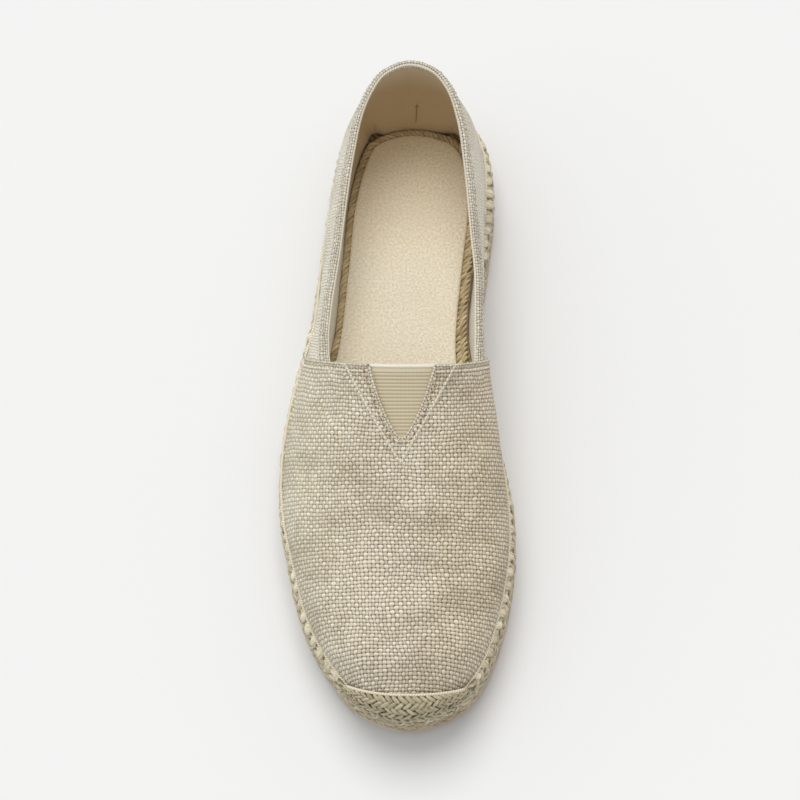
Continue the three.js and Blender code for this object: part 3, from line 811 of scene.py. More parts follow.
def soft_sun(name, towards, angle, strength, color):
    """An even light from far off, as wide as a soft box; `towards` is the way that it shines."""
    lamp = bpy.data.lights.new(name, "SUN")
    lamp.angle, lamp.energy, lamp.color = angle, strength, color
    holder = bpy.data.objects.new(name, lamp)
    holder.rotation_mode = "QUATERNION"
    holder.rotation_quaternion = turned(towards, (1, 0, 0))
    bpy.context.scene.collection.objects.link(holder)


def studio():
    """A pale floor, an even sky, a wide soft light from behind the heel, and a wider, weaker and
    cooler one from the lateral side."""
    scene = bpy.context.scene
    scene.view_settings.view_transform = "Standard"
    world = scene.world or bpy.data.worlds.new("studio")
    scene.world = world
    world.use_nodes = True
    sky = world.node_tree.nodes["Background"].inputs
    sky["Color"].default_value = (1.0, 0.99, 0.975, 1)
    sky["Strength"].default_value = SKY
    soft_sun("key", (0.06, -0.52, -1.0), 0.7, KEY, (1.0, 0.985, 0.955))
    soft_sun("side", (0.9, -0.1, -0.75), 1.6, SIDE, (0.84, 0.96, 1.0))
    mesh = bpy.data.meshes.new("floor")
    corners = [(-FLOOR, -FLOOR, 0), (FLOOR, -FLOOR, 0), (FLOOR, FLOOR, 0), (-FLOOR, FLOOR, 0)]
    mesh.from_pydata(corners, [], [(0, 1, 2, 3)])
    floor = bpy.data.objects.new("floor", mesh)
    scene.collection.objects.link(floor)
    paper = Finish("floor_paper", Roughness=0.9)
    paper.show((0.86, 0.865, 0.875, 1.0))
    mesh.materials.append(paper.material)


point_camera()
studio()

# ---------------------------------------------------------------- sole


def slab(loop, layers, flat_uv=False):
    """A foot loop stacked at several heights, each with its inset, and closed below and above by
    strips from side to side with a triangle at the heel and at the toe. Its side's UVs run round
    it and up, or with `flat_uv` they are the plan's x and y."""
    steps = len(loop)
    rings = np.stack([lifted(inset(loop, by), height) for height, by in layers])
    uv = np.zeros((len(layers), steps + 1, 2))
    uv[..., 0] = np.linspace(0, PERIMETER, steps + 1)
    uv[..., 1] = np.array([height for height, _ in layers])[:, None]
    if flat_uv:
        uv = np.concatenate([rings, rings[:, :1]], 1)[..., :2]
    side = grid_part(rings, uv, close_columns=True)
    half, top = steps // 2, (len(layers) - 1) * steps
    i = np.arange(1, half - 1)
    bottom = np.stack([i, i + 1, steps - i - 1, steps - i], 1)
    tips = np.array([[0, 1, steps - 1], [half - 1, half, half + 1]])
    faces = np.vstack([bottom, (bottom + top)[:, ::-1]])
    flat = rings.reshape(-1, 3)[:, :2]
    return Part(side.points, np.vstack([side.faces, faces]),
                np.vstack([side.corner_uv, flat[faces]]), [tips, (tips + top)[:, ::-1]])


def rubber_outsole():
    """The rubber sheet: a slab whose lip, half a circle, stands just proud of the rope, hollowed
    a little underneath inside its rim, where the tread's ribs stand."""
    half = OUTSOLE_THICK / 2
    turn = np.linspace(-math.pi / 2, math.pi / 2, 9)
    hollow = [(0.9, 7.0), (0.9, 4.4), (0.7, 4.1), (0.1, 3.9), (0.0, 3.7), (0.0, 2.2)]
    lip = [(half + half * math.sin(a), 1.1 - 1.0 * math.cos(a)) for a in turn]
    top = [(OUTSOLE_THICK, 2.2), (OUTSOLE_THICK, 4.0)]
    return slab(SOLE_LOOP[::4], hollow + lip + top)


def tread():
    """Wavy ribs across the underside: y = y0 + 1.5 sin(tau x / 13), ending inside the rim."""
    start = np.arange(12.0, LENGTH - 10.0, 5.2)
    low, high = (smooth(start, SOLE["at"], SOLE[side]) for side in ("lateral", "medial"))
    share, rim = np.linspace(0, 1, 60), 4.2
    x = (low + rim)[:, None] + (high - low - 2 * rim)[:, None] * share
    y = HALF - start[:, None] + 1.5 * np.sin(x * (TAU / 13))
    z = 0.55 + spring(HALF - y)
    points = np.stack([x, y, z], -1)
    return ropes(points, np.broadcast_to([0.0, 0.0, 1.0], points.shape), 1.3, 0.55, sides=8)


def plaited_rows(rows, count, steps, slant, whole=False):
    """The floats of a wide flat plait: the stretches of strand that show, each over two others.
    They lie in `rows` of `count`, which slant to and fro by turns, with each row's tips between
    the next row's feet. A plait that is `whole` runs round on itself. Returns for the `steps`
    points of every float: the share of the plait's length, the place across it from 0 to 1, and
    t from -1 to 1."""
    t = np.linspace(-1, 1, steps)
    number, row = np.meshgrid(np.arange(count), np.arange(rows))
    number, row = number.reshape(-1, 1), row.reshape(-1, 1)
    middle = number + 0.5 * (row % 2) + RNG.uniform(-0.1, 0.1, row.shape)
    lean = (1 - 2 * (row % 2)) * slant * RNG.uniform(0.88, 1.12, row.shape)
    share = (middle + 0.5 * lean * t) / count
    share = share % 1.0 if whole else share / (1 + 0.5 / count)
    across = (row + 0.5 + 0.68 * t + RNG.uniform(-0.06, 0.06, row.shape)) / rows
    return share, across, np.broadcast_to(t, share.shape)


def floats(surface, share, across, t, wide, thick, high, deep, size=1.0, sides=8, end=0.3):
    """Plump strands along the floats. Each stands high (1 - |t|^3) - deep |t|^3 off the surface,
    and its thickness is drawn in by |t|^3.2 to `end` at its ends."""
    own = RNG.uniform(-0.18, 0.18, (len(t), 1))
    out = (high * (1 - np.abs(t) ** 3) - deep * np.abs(t) ** 3 + own) * size
    points, normals = surface.at(across, share, out)
    bulk = (end + (1 - end) * (1 - np.abs(t) ** 3.2)) * RNG.uniform(0.9, 1.08, (len(t), 1)) * size
    return ropes(points, normals, wide, thick, sides=sides, plump=bulk)


def sole_side():
    """The middle surface of the plait round the sole: up its side and in over its top edge."""
    profile = np.array(SIDE_PROFILE)
    run = lengths(profile)
    places = read_path(profile, run, np.linspace(0, run[-1], 25))
    return Surface(np.stack([looped(lifted(inset(SOLE_LOOP, by), height)) for by, height in places]))


SOLE_SIDE = sole_side()


def uneven(count, steps, waves, amount):
    """Random swings of up to `amount` for each of `count` closed strands: sines with so many
    waves round the strand."""
    s = np.linspace(0, TAU, steps, endpoint=False)
    total = np.zeros((count, steps))
    for wave in waves:
        shift = RNG.uniform(0, TAU, (count, 1))
        total += RNG.uniform(0.4, 1.0, (count, 1)) * np.sin(wave * s + shift)
    return amount * total / len(waves)


def sole_plait():
    """The sole's outer rope: a wide flat plait on edge all round, over the lower four fifths of
    the side's profile."""
    share, across, t = plaited_rows(4, 148, 11, 1.5, whole=True)
    return floats(SOLE_SIDE, share, across * 0.8, t, 1.5, 1.25, 0.55, 1.2)


def edge_beads():
    """The row of pale knots on the sole's upper edge, and the lumpy strand under them, with three
    waves to each knot."""
    knots, points = 108, 900
    share, across, t = plaited_rows(1, knots, 11, 0.5, whole=True)
    across = 0.865 + (across - 0.5) * 0.14
    size = RNG.uniform(0.82, 1.1, (len(share), 1))
    beads = floats(SOLE_SIDE, share, across, t, 2.05, 1.4, 0.85, 0.6, size=size, sides=10)
    share = np.arange(points) / points
    lump = 0.35 * np.sin(3 * knots * TAU * share) + uneven(1, points, (29, 71, 133), 0.3)[0]
    bed, up = SOLE_SIDE.at(np.full(points, 0.89), share, lump - 0.2)
    return join(beads, cord(bed, up, 2.5, 0.9, 12, closed=True))


def jute_body():
    """The coiled rope inside the sole."""
    return slab(SOLE_LOOP[::8], ((OUTSOLE_THICK, 6.0), (3.1, 2.6), (6, 2.2), (18, 2.2),
                                 (19.6, 3.2), (20.1, 5.0), (20.2, 8.0)))


add_piece("rubber_outsole", rubber_outsole(), RUBBER, ["outsole"])
add_piece("tread", tread(), RUBBER)
add_piece("jute_core", jute_body(), JUTE_CORE)
add_piece("sole_plait", sole_plait(), JUTE, ["midsole"])
add_piece("edge_beads", edge_beads(), JUTE_PALE)

# ---------------------------------------------------------------- footbed

INSOLE_LOOP = foot_loop(INSOLE, INSOLE_ENDS, 480)
FOOTBED_LAYERS = ((SOLE_TOP, 0.6), (21.3, 0.15), (21.8, 0), (22.9, 0), (23.4, 0.18), (23.75, 0.6),
                  (23.9, 1.3), (23.95, 2.6), (23.95, 6.0))


def room_round_footbed():
    """At each point of the footbed's outline, the distance out to the lining's wall."""
    wall = inset(SOLE_LOOP, FEATHER_INSET + QUARTER_STEP + QUARTER_CLOTH + 0.6)
    return np.linalg.norm(INSOLE_LOOP[:, None] - wall[None], axis=-1).min(1)


def braid_width(share):
    """Width of the rope round the footbed, from the heel tip round the medial side, where it is
    widest at the waist."""
    medial = ease(share, 0.08, 0.17) * (1 - ease(share, 0.30, 0.40))
    lateral = ease(share, 0.6, 0.68) * (1 - ease(share, 0.88, 0.95))
    return 3.2 + 4.6 * medial - 0.5 * lateral


def inner_braid():
    """The rope round the footbed: slanting strands on a bed that runs out over the sole and then,
    where the room ends, up the lining's wall, leaning out by 0.3. A flat core fills it."""
    round_share = np.linspace(0, 1, 961)
    outline = along(looped(INSOLE_LOOP), round_share[:-1])
    outward = looped(outline - inset(outline, 1.0))
    room = room_round_footbed()
    room = np.interp(round_share, np.linspace(0, 1, len(room) + 1), np.r_[room, room[:1]])
    wide = braid_width(round_share)
    q = np.linspace(-0.1, 1, 15)[:, None]
    flat = np.minimum(wide * q, room - 1.0)
    climb = wide * q - flat
    plan = looped(outline) + outward * (flat + 0.3 * climb)[..., None]
    z = 21.7 + 0.6 * np.sin(math.pi * np.clip(q, 0, 1)) + 0.9 * climb
    bed = Surface(np.concatenate([plan, z[..., None]], -1)[::-1])
    share, across, t = plaited_rows(1, 236, 13, 2.3, whole=True)
    size = np.interp(share, round_share, 0.86 + 0.045 * wide)
    across = 0.5 + (across - 0.5) * 0.7
    strands = floats(bed, share, across, t, 0.95, 0.85, 0.3, 0.45, size, sides=7, end=0.6)
    share = np.arange(480) / 480
    middle, up = bed.at(np.full(480, 0.5), share, -0.9)
    half_width = 0.46 * np.interp(share, round_share, wide)
    return join(strands, cord(middle, up, 1.0, 0.3, 10, closed=True, plump=half_width[None]))


add_piece("footbed", slab(INSOLE_LOOP, FOOTBED_LAYERS, flat_uv=True), FOOTBED,
          ["insole"])
add_piece("inner_braid", inner_braid(), JUTE_DARK)

# ---------------------------------------------------------------- vamp

VAMP_END = LAST.front - 0.4
NOTCH_TIP = 173.4            # `start` of the notch's rounded end
NOTCH = table(
    "at left right",
    (141, -12.4, 20.0), (147, -9.6, 16.7), (158.5, -5.8, 12.9), (166, -2.4, 9.6),
    (170.5, 0.1, 7.1), (NOTCH_TIP, 2.4, 4.8),
)

# Soft dents in the vamp, or ridges where the depth is below 0: x and `at` of both ends, half
# width across, depth.
DENTS = (
    (-30, 150, -22, 168, 4.0, 0.7), (-38, 176, -30, 196, 5.0, 0.6), (27, 152, 31, 172, 4.0, 0.6),
    (-16, 186, 4, 196, 6.0, 0.4), (14, 178, 30, 190, 5.0, -0.4), (-24, 214, -10, 224, 6.0, 0.35),
    (16, 226, 30, 218, 6.0, 0.4), (-20, 240, -8, 250, 5.0, 0.4), (10, 250, 24, 244, 5.0, 0.35),
    (-4, 208, 12, 206, 7.0, -0.35), (0, 160, 6, 184, 6.0, 0.3),
)


def dent_depth(points):
    """Soft troughs: depth times a bell curve of the distance from each trough's line."""
    total = np.zeros(points.shape[:-1])
    for x0, at0, x1, at1, wide, depth in DENTS:
        start, run = np.array([x0, HALF - at0]), np.array([x1 - x0, at0 - at1])
        away = points[..., :2] - start
        share = np.clip((away @ run) / (run @ run), 0, 1)
        gap = np.linalg.norm(away - share[..., None] * run, axis=-1)
        total += depth * np.exp(-(gap / wide) ** 2)
    return total


def flare(at, side):
    """How far the cloth's foot turns outwards on to the rope: most on the lateral side, and on
    the medial side round the heel."""
    waist = ease(at, 30, 90) * (1 - ease(at, 175, 235))
    lateral = 1.5 * waist + 1.7 * (1 - ease(at, 60, 110))
    return 0.6 + np.where(side < 0, lateral, 0.2 * waist + 1.3 * (1 - ease(at, 28, 52)))


def foot_turn(points, away, side):
    """Outward shift of a grid near its foot: the flare times a bell curve of the distance."""
    return flare(HALF - points[..., 1], side) * np.exp(-(away / 3.4) ** 2)


FACING = ((-21.5, 143.5), (3.2, 183.6), (26.5, 143.5))    # x and `at` of the sewn V's corners


def facing_step(points):
    """The doubled cloth inside the sewn V stands up by 0.6, with a rounded edge outside the V."""
    place = np.stack([points[..., 0], HALF - points[..., 1]], -1)
    away = []
    for low, high in zip(FACING, FACING[1:]):
        run = unit(np.subtract(high, low))
        away.append((place - low) @ np.array([-run[1], run[0]]))
    return 0.6 * (1 - ease(np.maximum(*away), 0.5, 1.3))


def vamp_surface():
    """The vamp's face: the last's rows, with its dents, small puckers at its foot, the foot
    turned out, and the facing's step. Its UVs run from the ridge, and along the ridge."""
    start = np.linspace(THROAT, VAMP_END, 340)
    arc = np.linspace(-1, 1, 281)
    ridge = len(arc) // 2
    points = LAST.vamp(start[:, None], arc[None])
    run = np.cumsum(np.linalg.norm(np.diff(points, axis=1, prepend=points[:, :1]), axis=-1), 1)
    down = np.broadcast_to(lengths(points[:, ridge])[:, None], run.shape)
    uv = np.stack([run - run[:, ridge:ridge + 1], down], -1)
    foot = np.minimum(run, run[:, -1:] - run)
    y = points[..., 1]
    pucker = np.exp(-(foot / 5.0) ** 2) * np.sin(y * TAU / 4.8 + 1.7 * np.sin(y * 0.21))
    sink = dent_depth(points) + 0.25 * pucker * ease(foot, 0.0, 1.5)
    sink -= foot_turn(points, foot, np.sign(arc)[None]) + facing_step(points)
    return Surface(points - grid_normals(points) * sink[..., None], uv)


VAMP = vamp_surface()


def row_share(start):
    """Shares of the vamp's rows that cross the ridge at `start`."""
    return (np.asarray(start, float) - THROAT) / (VAMP_END - THROAT)


def notch_arcs(start):
    """Arcs of the notch's two sides at each row; below its tip they run on side by side."""
    return [arc_at(start, smooth(start, NOTCH["at"], NOTCH[side])) for side in ("left", "right")]


def vamp_rows():
    """Where the vamp's rows start, and which of them is at the notch's tip."""
    upper = np.linspace(THROAT, NOTCH_TIP, 60)
    return np.r_[upper, np.linspace(NOTCH_TIP, VAMP_END, 150)[1:]], len(upper) - 1


def vamp_cloth(out, inward=False):
    """The vamp in three runs of columns: lateral of the notch, below it, and medial of it."""
    starts, tip = vamp_rows()
    left, right = notch_arcs(starts)
    lateral, below, medial = 84, 9, 78
    runs = []
    for low, high, count in ((-1, left, lateral), (left, right, below), (right, 1, medial)):
        share = np.linspace(0, 1, count)[None]
        low, high = (np.broadcast_to(v, len(starts))[:, None] for v in (low, high))
        runs.append((low + (high - low) * share)[:, bool(runs):])
    arcs = np.concatenate(runs, 1)
    skip = np.zeros(arcs.shape, bool)
    skip[:tip, lateral - 1:lateral + below - 2] = True
    rows = np.broadcast_to(row_share(starts)[:, None], arcs.shape)
    return VAMP.sheet(rows, (arcs + 1) / 2, out, inward=inward, skip=skip)


def on_vamp(start, arc, out=0.0):
    """Points off the vamp by `out`, and the normals there."""
    return VAMP.at(row_share(start), (np.asarray(arc) + 1) / 2, out)


def stitches(points, normals, pitch, length, wide=0.42, thick=0.32, lift=0.55, sink=0.35):
    """Short stitches along a path, each rising out of the cloth and going back into it: their
    height is lift sin(pi t)^0.7 - sink."""
    run = lengths(points)
    middles = np.arange(pitch / 2, run[-1] - 0.6 * length, pitch)
    t = np.linspace(0, 1, 7)
    length = length * RNG.uniform(0.88, 1.1, (len(middles), 1))
    where = middles[:, None] + (t - 0.5) * length
    spots, up = read_path(points, run, where), read_path(normals, run, where)
    height = lift * np.sin(math.pi * t) ** 0.7 - sink
    return ropes(spots + up * height[:, None], up, wide, thick, sides=6)


def notch_edge(away):
    """The path round the notch at a distance from it, down one side and up the other."""
    left, right = (np.column_stack([NOTCH[side], NOTCH["at"]])[1:] for side in ("left", "right"))
    path = spline(np.vstack([left, right[::-1]]), closed=False)
    run = unit(np.gradient(path, axis=0))
    path = along(path + away * left_of(run), np.linspace(0, 1, 160))
    path = path[path[:, 1] > THROAT]
    return on_vamp(path[:, 1], arc_at(path[:, 1], path[:, 0]))


def throat_edge(inset_by):
    """The paths along the throat on both sides of the notch, `inset_by` in from its edge."""
    left, right = notch_arcs(np.array([THROAT]))
    spans = ((-0.985, left[0] - 0.004), (right[0] + 0.004, 0.985))
    return [on_vamp(np.full(70, THROAT + inset_by), np.linspace(a, b, 70)) for a, b in spans]


def folded_edges():
    """Rolled edges of the cloth along the throat and round the notch."""
    return join(*[cord(points - normals * 0.55, normals, 0.9, 0.9, 12, around=5.6)
                  for points, normals in throat_edge(0.25) + [notch_edge(0.3)]])


def notch_stitching():
    """Stitches along the throat, and the V of the facing sewn below the notch."""
    rows = [stitches(*path, 2.1, 1.5) for path in throat_edge(2.2)]
    for (x0, at0), (x1, at1) in zip(FACING, FACING[1:]):
        starts = np.linspace(at0, at1, 60)
        arcs = arc_at(starts, np.linspace(x0, x1, 60))
        rows.append(stitches(*on_vamp(starts, arcs), 2.0, 1.6, wide=0.5, thick=0.4, lift=0.55))
    return join(*rows)


def needle_row():
    """Stitches, sunk in the cloth, that hold the fold round the notch; their dark tan thread is
    partly painted shade, standing in for the needle holes and the shaded groove there.
    """
    return stitches(*notch_edge(2.1), 2.6, 1.2, wide=0.36, thick=0.3, lift=0.45, sink=0.3)


def gore():
    """Ribbed elastic under the notch: ribs |sin(pi v / pitch)|^0.6 across it, its top edge
    turned over in a plain fold."""
    starts = np.linspace(THROAT, GORE_FOOT, 240)
    arcs = np.linspace(-0.34, 0.36, 60)
    uv = read_grid(VAMP.uv, row_share(starts)[:, None], (arcs[None] + 1) / 2)
    rib = np.abs(np.sin(math.pi * uv[..., 1] / GORE_PITCH)) ** 0.6
    rib = np.where(uv[..., 1] < GORE_BAND, 1.15, rib)
    points, _ = on_vamp(starts[:, None], arcs[None], -1.6 + 0.2 * rib)
    return grid_part(points, uv)


def gore_fold():
    """The cream fold over the elastic's top edge."""
    points, normals = on_vamp(np.full(50, THROAT + 0.1), np.linspace(-0.26, 0.31, 50), -1.7)
    return cord(points, normals, 0.8, 0.8, 12, around=5.0)


add_piece("vamp_cloth", vamp_cloth(0.0), LINEN, ["upper"], wall=VAMP_CLOTH)
add_piece("vamp_lining", vamp_cloth(-VAMP_CLOTH - 0.45, inward=True), LINING, wall=0.35)
add_piece("folded_edges", folded_edges(), LINEN_FOLD)
add_piece("notch_stitching", notch_stitching(), THREAD)
# The tan thread of this row is painted shade for the needle holes and their groove.
add_piece("needle_row", needle_row(), THREAD_TAN)
add_piece("gore", gore(), ELASTIC, ["elastic_gore"], wall=0.8)
add_piece("gore_fold", gore_fold(), LINING)

# ---------------------------------------------------------------- quarter

QUARTER_SHARES = np.r_[-np.linspace(1, 0, 170), np.linspace(0, 1, 170)[1:]]
QUARTER_UPS = np.linspace(0, 1, 70)
THROAT_HEIGHT = 66.0         # of the vamp's ridge at the throat


def wall_uv(points):
    """UVs of a wall's grid: run round the shoe at mid height, and run up from its foot."""
    middle = lengths(points[len(points) // 2])
    height = np.cumsum(np.linalg.norm(np.diff(points, axis=0, prepend=points[:1]), axis=-1), 0)
    return np.stack([np.broadcast_to(middle, height.shape), height], -1)


def tucked(points):
    """A quarter's grid with its front ends sunk, where they lie between the vamp's layers."""
    behind = THROAT - THROAT_SLOPE * (THROAT_HEIGHT - points[..., 2])
    sink = 1.4 * ease(HALF - points[..., 1] - behind, 2.0, 8.0)
    return points - grid_normals(points) * sink[..., None]


def quarter_surface():
    """The quarter's outer wall, with its foot turned out and its front ends tucked in."""
    points = quarter(QUARTER_SHARES, QUARTER_UPS, QUARTER_STEP)
    uv = wall_uv(points)
    turn = foot_turn(points, uv[..., 1], np.sign(QUARTER_SHARES)[None])
    return Surface(tucked(points + grid_normals(points) * turn[..., None]), uv)


QUARTER = quarter_surface()


def footbed_edge(shares):
    """The footbed's outline at the quarter's shares, and the inward direction there."""
    outline, half = looped(INSOLE_LOOP), len(INSOLE_LOOP) // 2
    edge = np.zeros((len(shares), 2))
    for side, path in ((1, outline[:half + 1]), (-1, outline[half:][::-1])):
        here = shares * side >= 0
        run = lengths(path)
        end = np.interp(QUARTER_FOOT_END - HALF, -path[:, 1], run)
        edge[here] = read_path(path, run, np.abs(shares[here]) * end)
    return edge, -left_of(unit(np.gradient(edge, axis=0)))


def lining_surface():
    """The quarter's inner wall, drawn in over its lowest part to meet the footbed's braid."""
    points = quarter(QUARTER_SHARES, QUARTER_UPS, QUARTER_STEP + QUARTER_CLOTH + LINING_GAP)
    edge, inward = footbed_edge(QUARTER_SHARES)
    medial, lateral = ease(QUARTER_SHARES, 0.2, 0.45), ease(-QUARTER_SHARES, 0.2, 0.45)
    wall = -np.sum((points[0, :, :2] - edge) * inward, 1)
    reach = np.minimum(3.3 + 3.5 * medial - 0.4 * lateral, wall)
    cove = (1 - ease(QUARTER_UPS, 0.0, 0.5)) ** 1.5
    drawn = (wall - reach)[:, None] * inward
    points[..., :2] += cove[:, None, None] * drawn[None]
    points = tucked(points)
    return Surface(points, wall_uv(points))


INNER = lining_surface()
WHOLE_ROWS, WHOLE_COLUMNS = np.linspace(0, 1, 70)[:, None], np.linspace(0, 1, 340)[None]


def collar_run(drop, column, out=0.0):
    """A path on the quarter, `drop` millimetres below the collar."""
    height = read_grid(QUARTER.uv, np.ones(len(column)), column)[..., 1]
    return QUARTER.at(1 - drop / height, column, out)


def collar_band():
    """The hem round the collar: its section, carried along the rim, rolls over it in half a
    circle and lies on the cloth, with a groove under each row of stitches. Its outer face swells
    and sinks a little along the rim."""
    count, rolled, thick = 900, 9, 1.15
    column = np.linspace(*COLLAR_SHOWN, count)
    rim, out = collar_run(0.0, column)
    low, _ = collar_run(4.2, column)
    down = unit(low - rim)
    roll = [(thick * math.sin(a), thick * (math.cos(a) - 1) + 0.35)
            for a in np.linspace(math.pi, 0, rolled)]
    face = [(-0.5, 0.5), (-1.0, 0.1), (-1.25, 0.02), (-1.5, 0.1), (-2.1, 0.62), (-2.7, 0.66),
            (-3.3, 0.5), (-3.65, 0.1), (-3.9, 0.1), (-4.3, 0.3), (-4.6, -0.2), (-2.0, -0.5)]
    profile = np.array([(-2.0, -2 * thick + 0.2)] + roll + face)
    turn = np.arange(count) / count * TAU
    swell = 0.2 * np.sin(170 * turn) + uneven(1, count, (33, 58, 91), 0.28)[0]
    rise, off = profile[:, 0][:, None], profile[:, 1][:, None]
    lump = np.where((rise < -0.2) & (off > -0.1), 1.0, 0.0) * swell
    points = rim - down * rise[..., None] + out * (off + lump)[..., None]
    uv = np.stack(np.broadcast_arrays(lengths(points[rolled - 1])[None],
                                      lengths(looped(profile))[:, None]), -1)
    part = grid_part(points[::-1], uv[::-1], close_rows=True)
    rows = np.arange(len(profile)) * count
    part.caps = [np.stack([rows, rows[::-1] + count - 1])]
    return part


def collar_piping():
    """The lining's bright edge just inside the rim."""
    points, normals = collar_run(0.0, np.linspace(*COLLAR_SHOWN, 700))
    return cord(points - normals * 1.9 + [0, 0, 0.75], normals, 0.55, 0.55)


def collar_stitching():
    """The two rows of stitches in the hem's grooves, and the two on the strip at the back."""
    column = np.linspace(0.045, 0.955, 700)
    upper, lower = collar_run(1.25, column, 0.2), collar_run(3.75, column, 0.2)
    return join(stitches(*upper, 2.3, 1.3), stitches(*lower, 2.3, 1.35), back_stitches())


def heel_seam():
    """The lining's seam low down at the back, with a short bar across it."""
    up = np.linspace(0.1, 0.26, 30)
    points, normals = INNER.at(up, np.full(30, 0.51), -0.48)
    bar = INNER.at(np.full(12, 0.235), np.linspace(0.5065, 0.5135, 12), -0.5)
    return join(cord(points, normals, 0.14, 0.12), cord(*bar, 0.14, 0.12))


def back_seam():
    """The strip over the quarter's own seam at the back, its face 1 - t^6 across."""
    across = np.linspace(-1, 1, 15)
    column, row = 0.5 + 0.0072 * across[None], np.linspace(0.02, 0.95, 90)[:, None]
    out = 0.62 * (1 - across ** 6) + 0.05
    return QUARTER.sheet(row, column, np.broadcast_to(out, (90, 15)))


def back_stitches():
    """A row of stitches down each side of the strip at the back."""
    up = np.linspace(0.04, 0.93, 60)
    return join(*[stitches(*QUARTER.at(up, np.full(60, share), 0.45), 2.4, 1.6)
                  for share in (0.4953, 0.5047)])


add_piece("quarter_cloth", QUARTER.sheet(WHOLE_ROWS, WHOLE_COLUMNS), LINEN_SIDE,
          wall=QUARTER_CLOTH)
add_piece("quarter_lining", INNER.sheet(WHOLE_ROWS, WHOLE_COLUMNS, inward=True), LINING,
          wall=0.5)
add_piece("back_seam", back_seam(), LINEN_BAND, wall=0.6)
add_piece("heel_seam", heel_seam(), THREAD_TAN)
add_piece("collar_band", collar_band(), LINEN_BAND)
add_piece("collar_piping", collar_piping(), THREAD)
add_piece("collar_stitching", collar_stitching(), THREAD)

# ---------------------------------------------------------------- toe guard and hem


def guard_surface():
    """The toe guard's middle surface: straight from its upper edge, which runs back by |s|^2.2
    towards both corners, to the sole's side round the toe, bowed out by sin(pi q)."""
    s = np.linspace(-1, 1, GUARD_COLUMNS)
    q = np.linspace(0, 1, GUARD_ROWS)[:, None, None]
    back = np.where(s < 0, 6.5, 5.3) * np.abs(s) ** 2.2
    upper, _ = on_vamp(GUARD_TOP - back, s * 0.97, GUARD_LIFT)
    pick = np.round(np.linspace(GUARD_REACH, -GUARD_REACH, GUARD_COLUMNS)).astype(int)
    pick += len(SOLE_LOOP) // 2
    middle = 1 - np.abs(s) ** 4
    plan = inset(SOLE_LOOP, 1.3)[pick]
    plan += (inset(SOLE_LOOP, 0.2)[pick] - plan) * middle[:, None]
    z = SOLE_TOP + 0.7 - 3.4 * middle + spring(HALF - plan[:, 1])
    lower = np.column_stack([plan, z])
    chord = np.linalg.norm(lower - upper, axis=1)
    bow = np.sin(math.pi * q) * 0.2 * chord[None, :, None]
    return Surface(upper * (1 - q) + lower * q + bow * [0.0, -0.62, 0.78])


GUARD = guard_surface()


def toe_guard():
    """A wide flat plait over the toe, drawn in towards both corners."""
    share, across, t = plaited_rows(5, 20, 9, 1.5)
    share, across = 0.01 + 0.98 * share, 0.05 + 0.92 * across
    tall = np.linalg.norm(GUARD.points[-1] - GUARD.points[0], axis=1)
    size = np.clip(np.interp(share, np.linspace(0, 1, GUARD_COLUMNS), tall) / 15.0, 0.45, 1.0)
    return floats(GUARD, share, np.clip(across, 0, 1), t, 1.12, 0.85, 0.55, 0.6, size=size)


def guard_backing():
    """The sheet that the toe's plait is sewn to."""
    column, row = np.linspace(0, 1, 151)[None], np.linspace(0, 1, GUARD_ROWS)[:, None]
    points, _ = GUARD.at(row, column, -0.55)
    uv = np.stack(np.broadcast_arrays(column * 50, row * 14), -1)
    return grid_part(points, uv)


def guard_corners():
    """A short strand down each end of the plait, drawn to a point at both of its ends."""
    t = np.linspace(-1, 1, 24)
    taper = (0.06 + 0.94 * (1 - np.abs(t) ** 3))[None]
    ends = [GUARD.at(0.5 + 0.47 * t, np.full(24, column), -0.15 - 0.9 * t ** 6)
            for column in (0.004, 0.996)]
    return join(*[cord(*end, 1.15, 0.85, plump=taper) for end in ends])


def guard_edge():
    """The rolled edge along the guard's upper side."""
    return cord(*GUARD.at(np.zeros(120), np.linspace(0, 1, 120), 0.1), 0.62, 0.6)


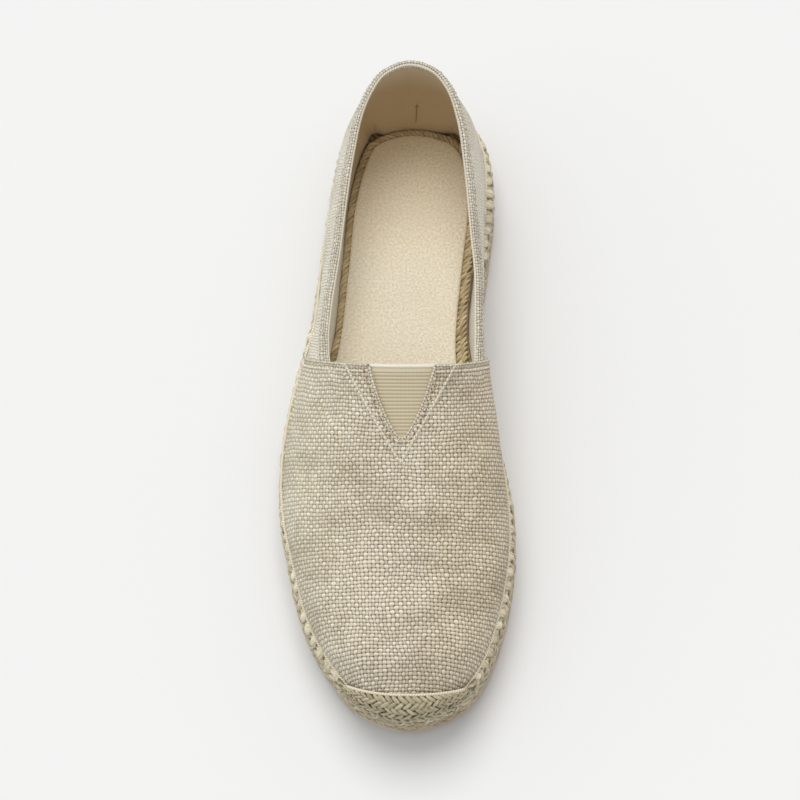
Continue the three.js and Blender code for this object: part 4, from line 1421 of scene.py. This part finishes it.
add_piece("toe_guard", toe_guard(), JUTE_FINE, ["toe_cap"])
add_piece("guard_backing", guard_backing(), JUTE_CORE, wall=0.5)
add_piece("guard_corners", guard_corners(), JUTE_FINE)
add_piece("guard_edge", guard_edge(), JUTE_THREAD)


def overhang(at, side):
    """How far the last's wall stands out past its lower edge."""
    height = np.linspace(0, 0.6, 31)[:, None]
    n = LAST.power(at, side)
    wall = LAST.wall_x(at, side, height, (1 - height ** n) ** (1 / n))
    return np.max(wall * side, 0) - LAST.edge(at, side) * side


def hem_path():
    """The feather line: round the whole upper, where its turned foot or its overhanging wall
    meets the rope."""
    at, cap_start = HALF - SOLE_LOOP[:, 1], 262.0
    side = np.r_[np.ones(len(at) // 2), -np.ones(len(at) // 2)]
    wall = np.where(at < cap_start, overhang(np.minimum(at, cap_start), side), 0)
    forward = ease(at, 125, 150)
    foot = FEATHER_INSET + QUARTER_STEP * (1 - forward) - flare(at, side) - 0.45
    deep = np.minimum(foot, FEATHER_INSET - 0.4 - wall * forward)
    ring = SOLE_LOOP + (inset(SOLE_LOOP, 1.0) - SOLE_LOOP) * np.clip(deep, 1.3, 4.0)[:, None]
    return lifted(ring[::2], SEAT + 0.85)


def hem_thread():
    """The pale thread along the feather line, with a slight wander."""
    ring, up = hem_path(), np.array([0.0, 0.0, 1.0])
    sway = uneven(2, len(ring), (17, 41, 73, 110), 0.28)
    run = unit(np.roll(ring, -1, 0) - np.roll(ring, 1, 0))
    out = np.column_stack([left_of(run), np.zeros(len(ring))])
    points = ring + out * sway[0][:, None] + up * sway[1][:, None]
    return cord(points, out + up, 0.6, 0.58, closed=True)


def side_stitches():
    """The long stitches that sew the plait together, slanting down the sole's side."""
    count = 62
    share = (np.arange(count)[:, None] + RNG.uniform(-0.15, 0.15, (count, 1))) / count
    q = np.linspace(0, 1, 9) * np.ones((count, 1))
    row = 0.7 - 0.2 * q + RNG.uniform(-0.02, 0.02, (count, 1))
    points, normals = SOLE_SIDE.at(row, (share + 0.0035 * q) % 1.0, 1.85 - 2.2 * (2 * q - 1) ** 4)
    return ropes(points, normals, 0.36, 0.3, sides=6)


add_piece("hem_thread", hem_thread(), JUTE_THREAD)
add_piece("side_stitches", side_stitches(), THREAD)
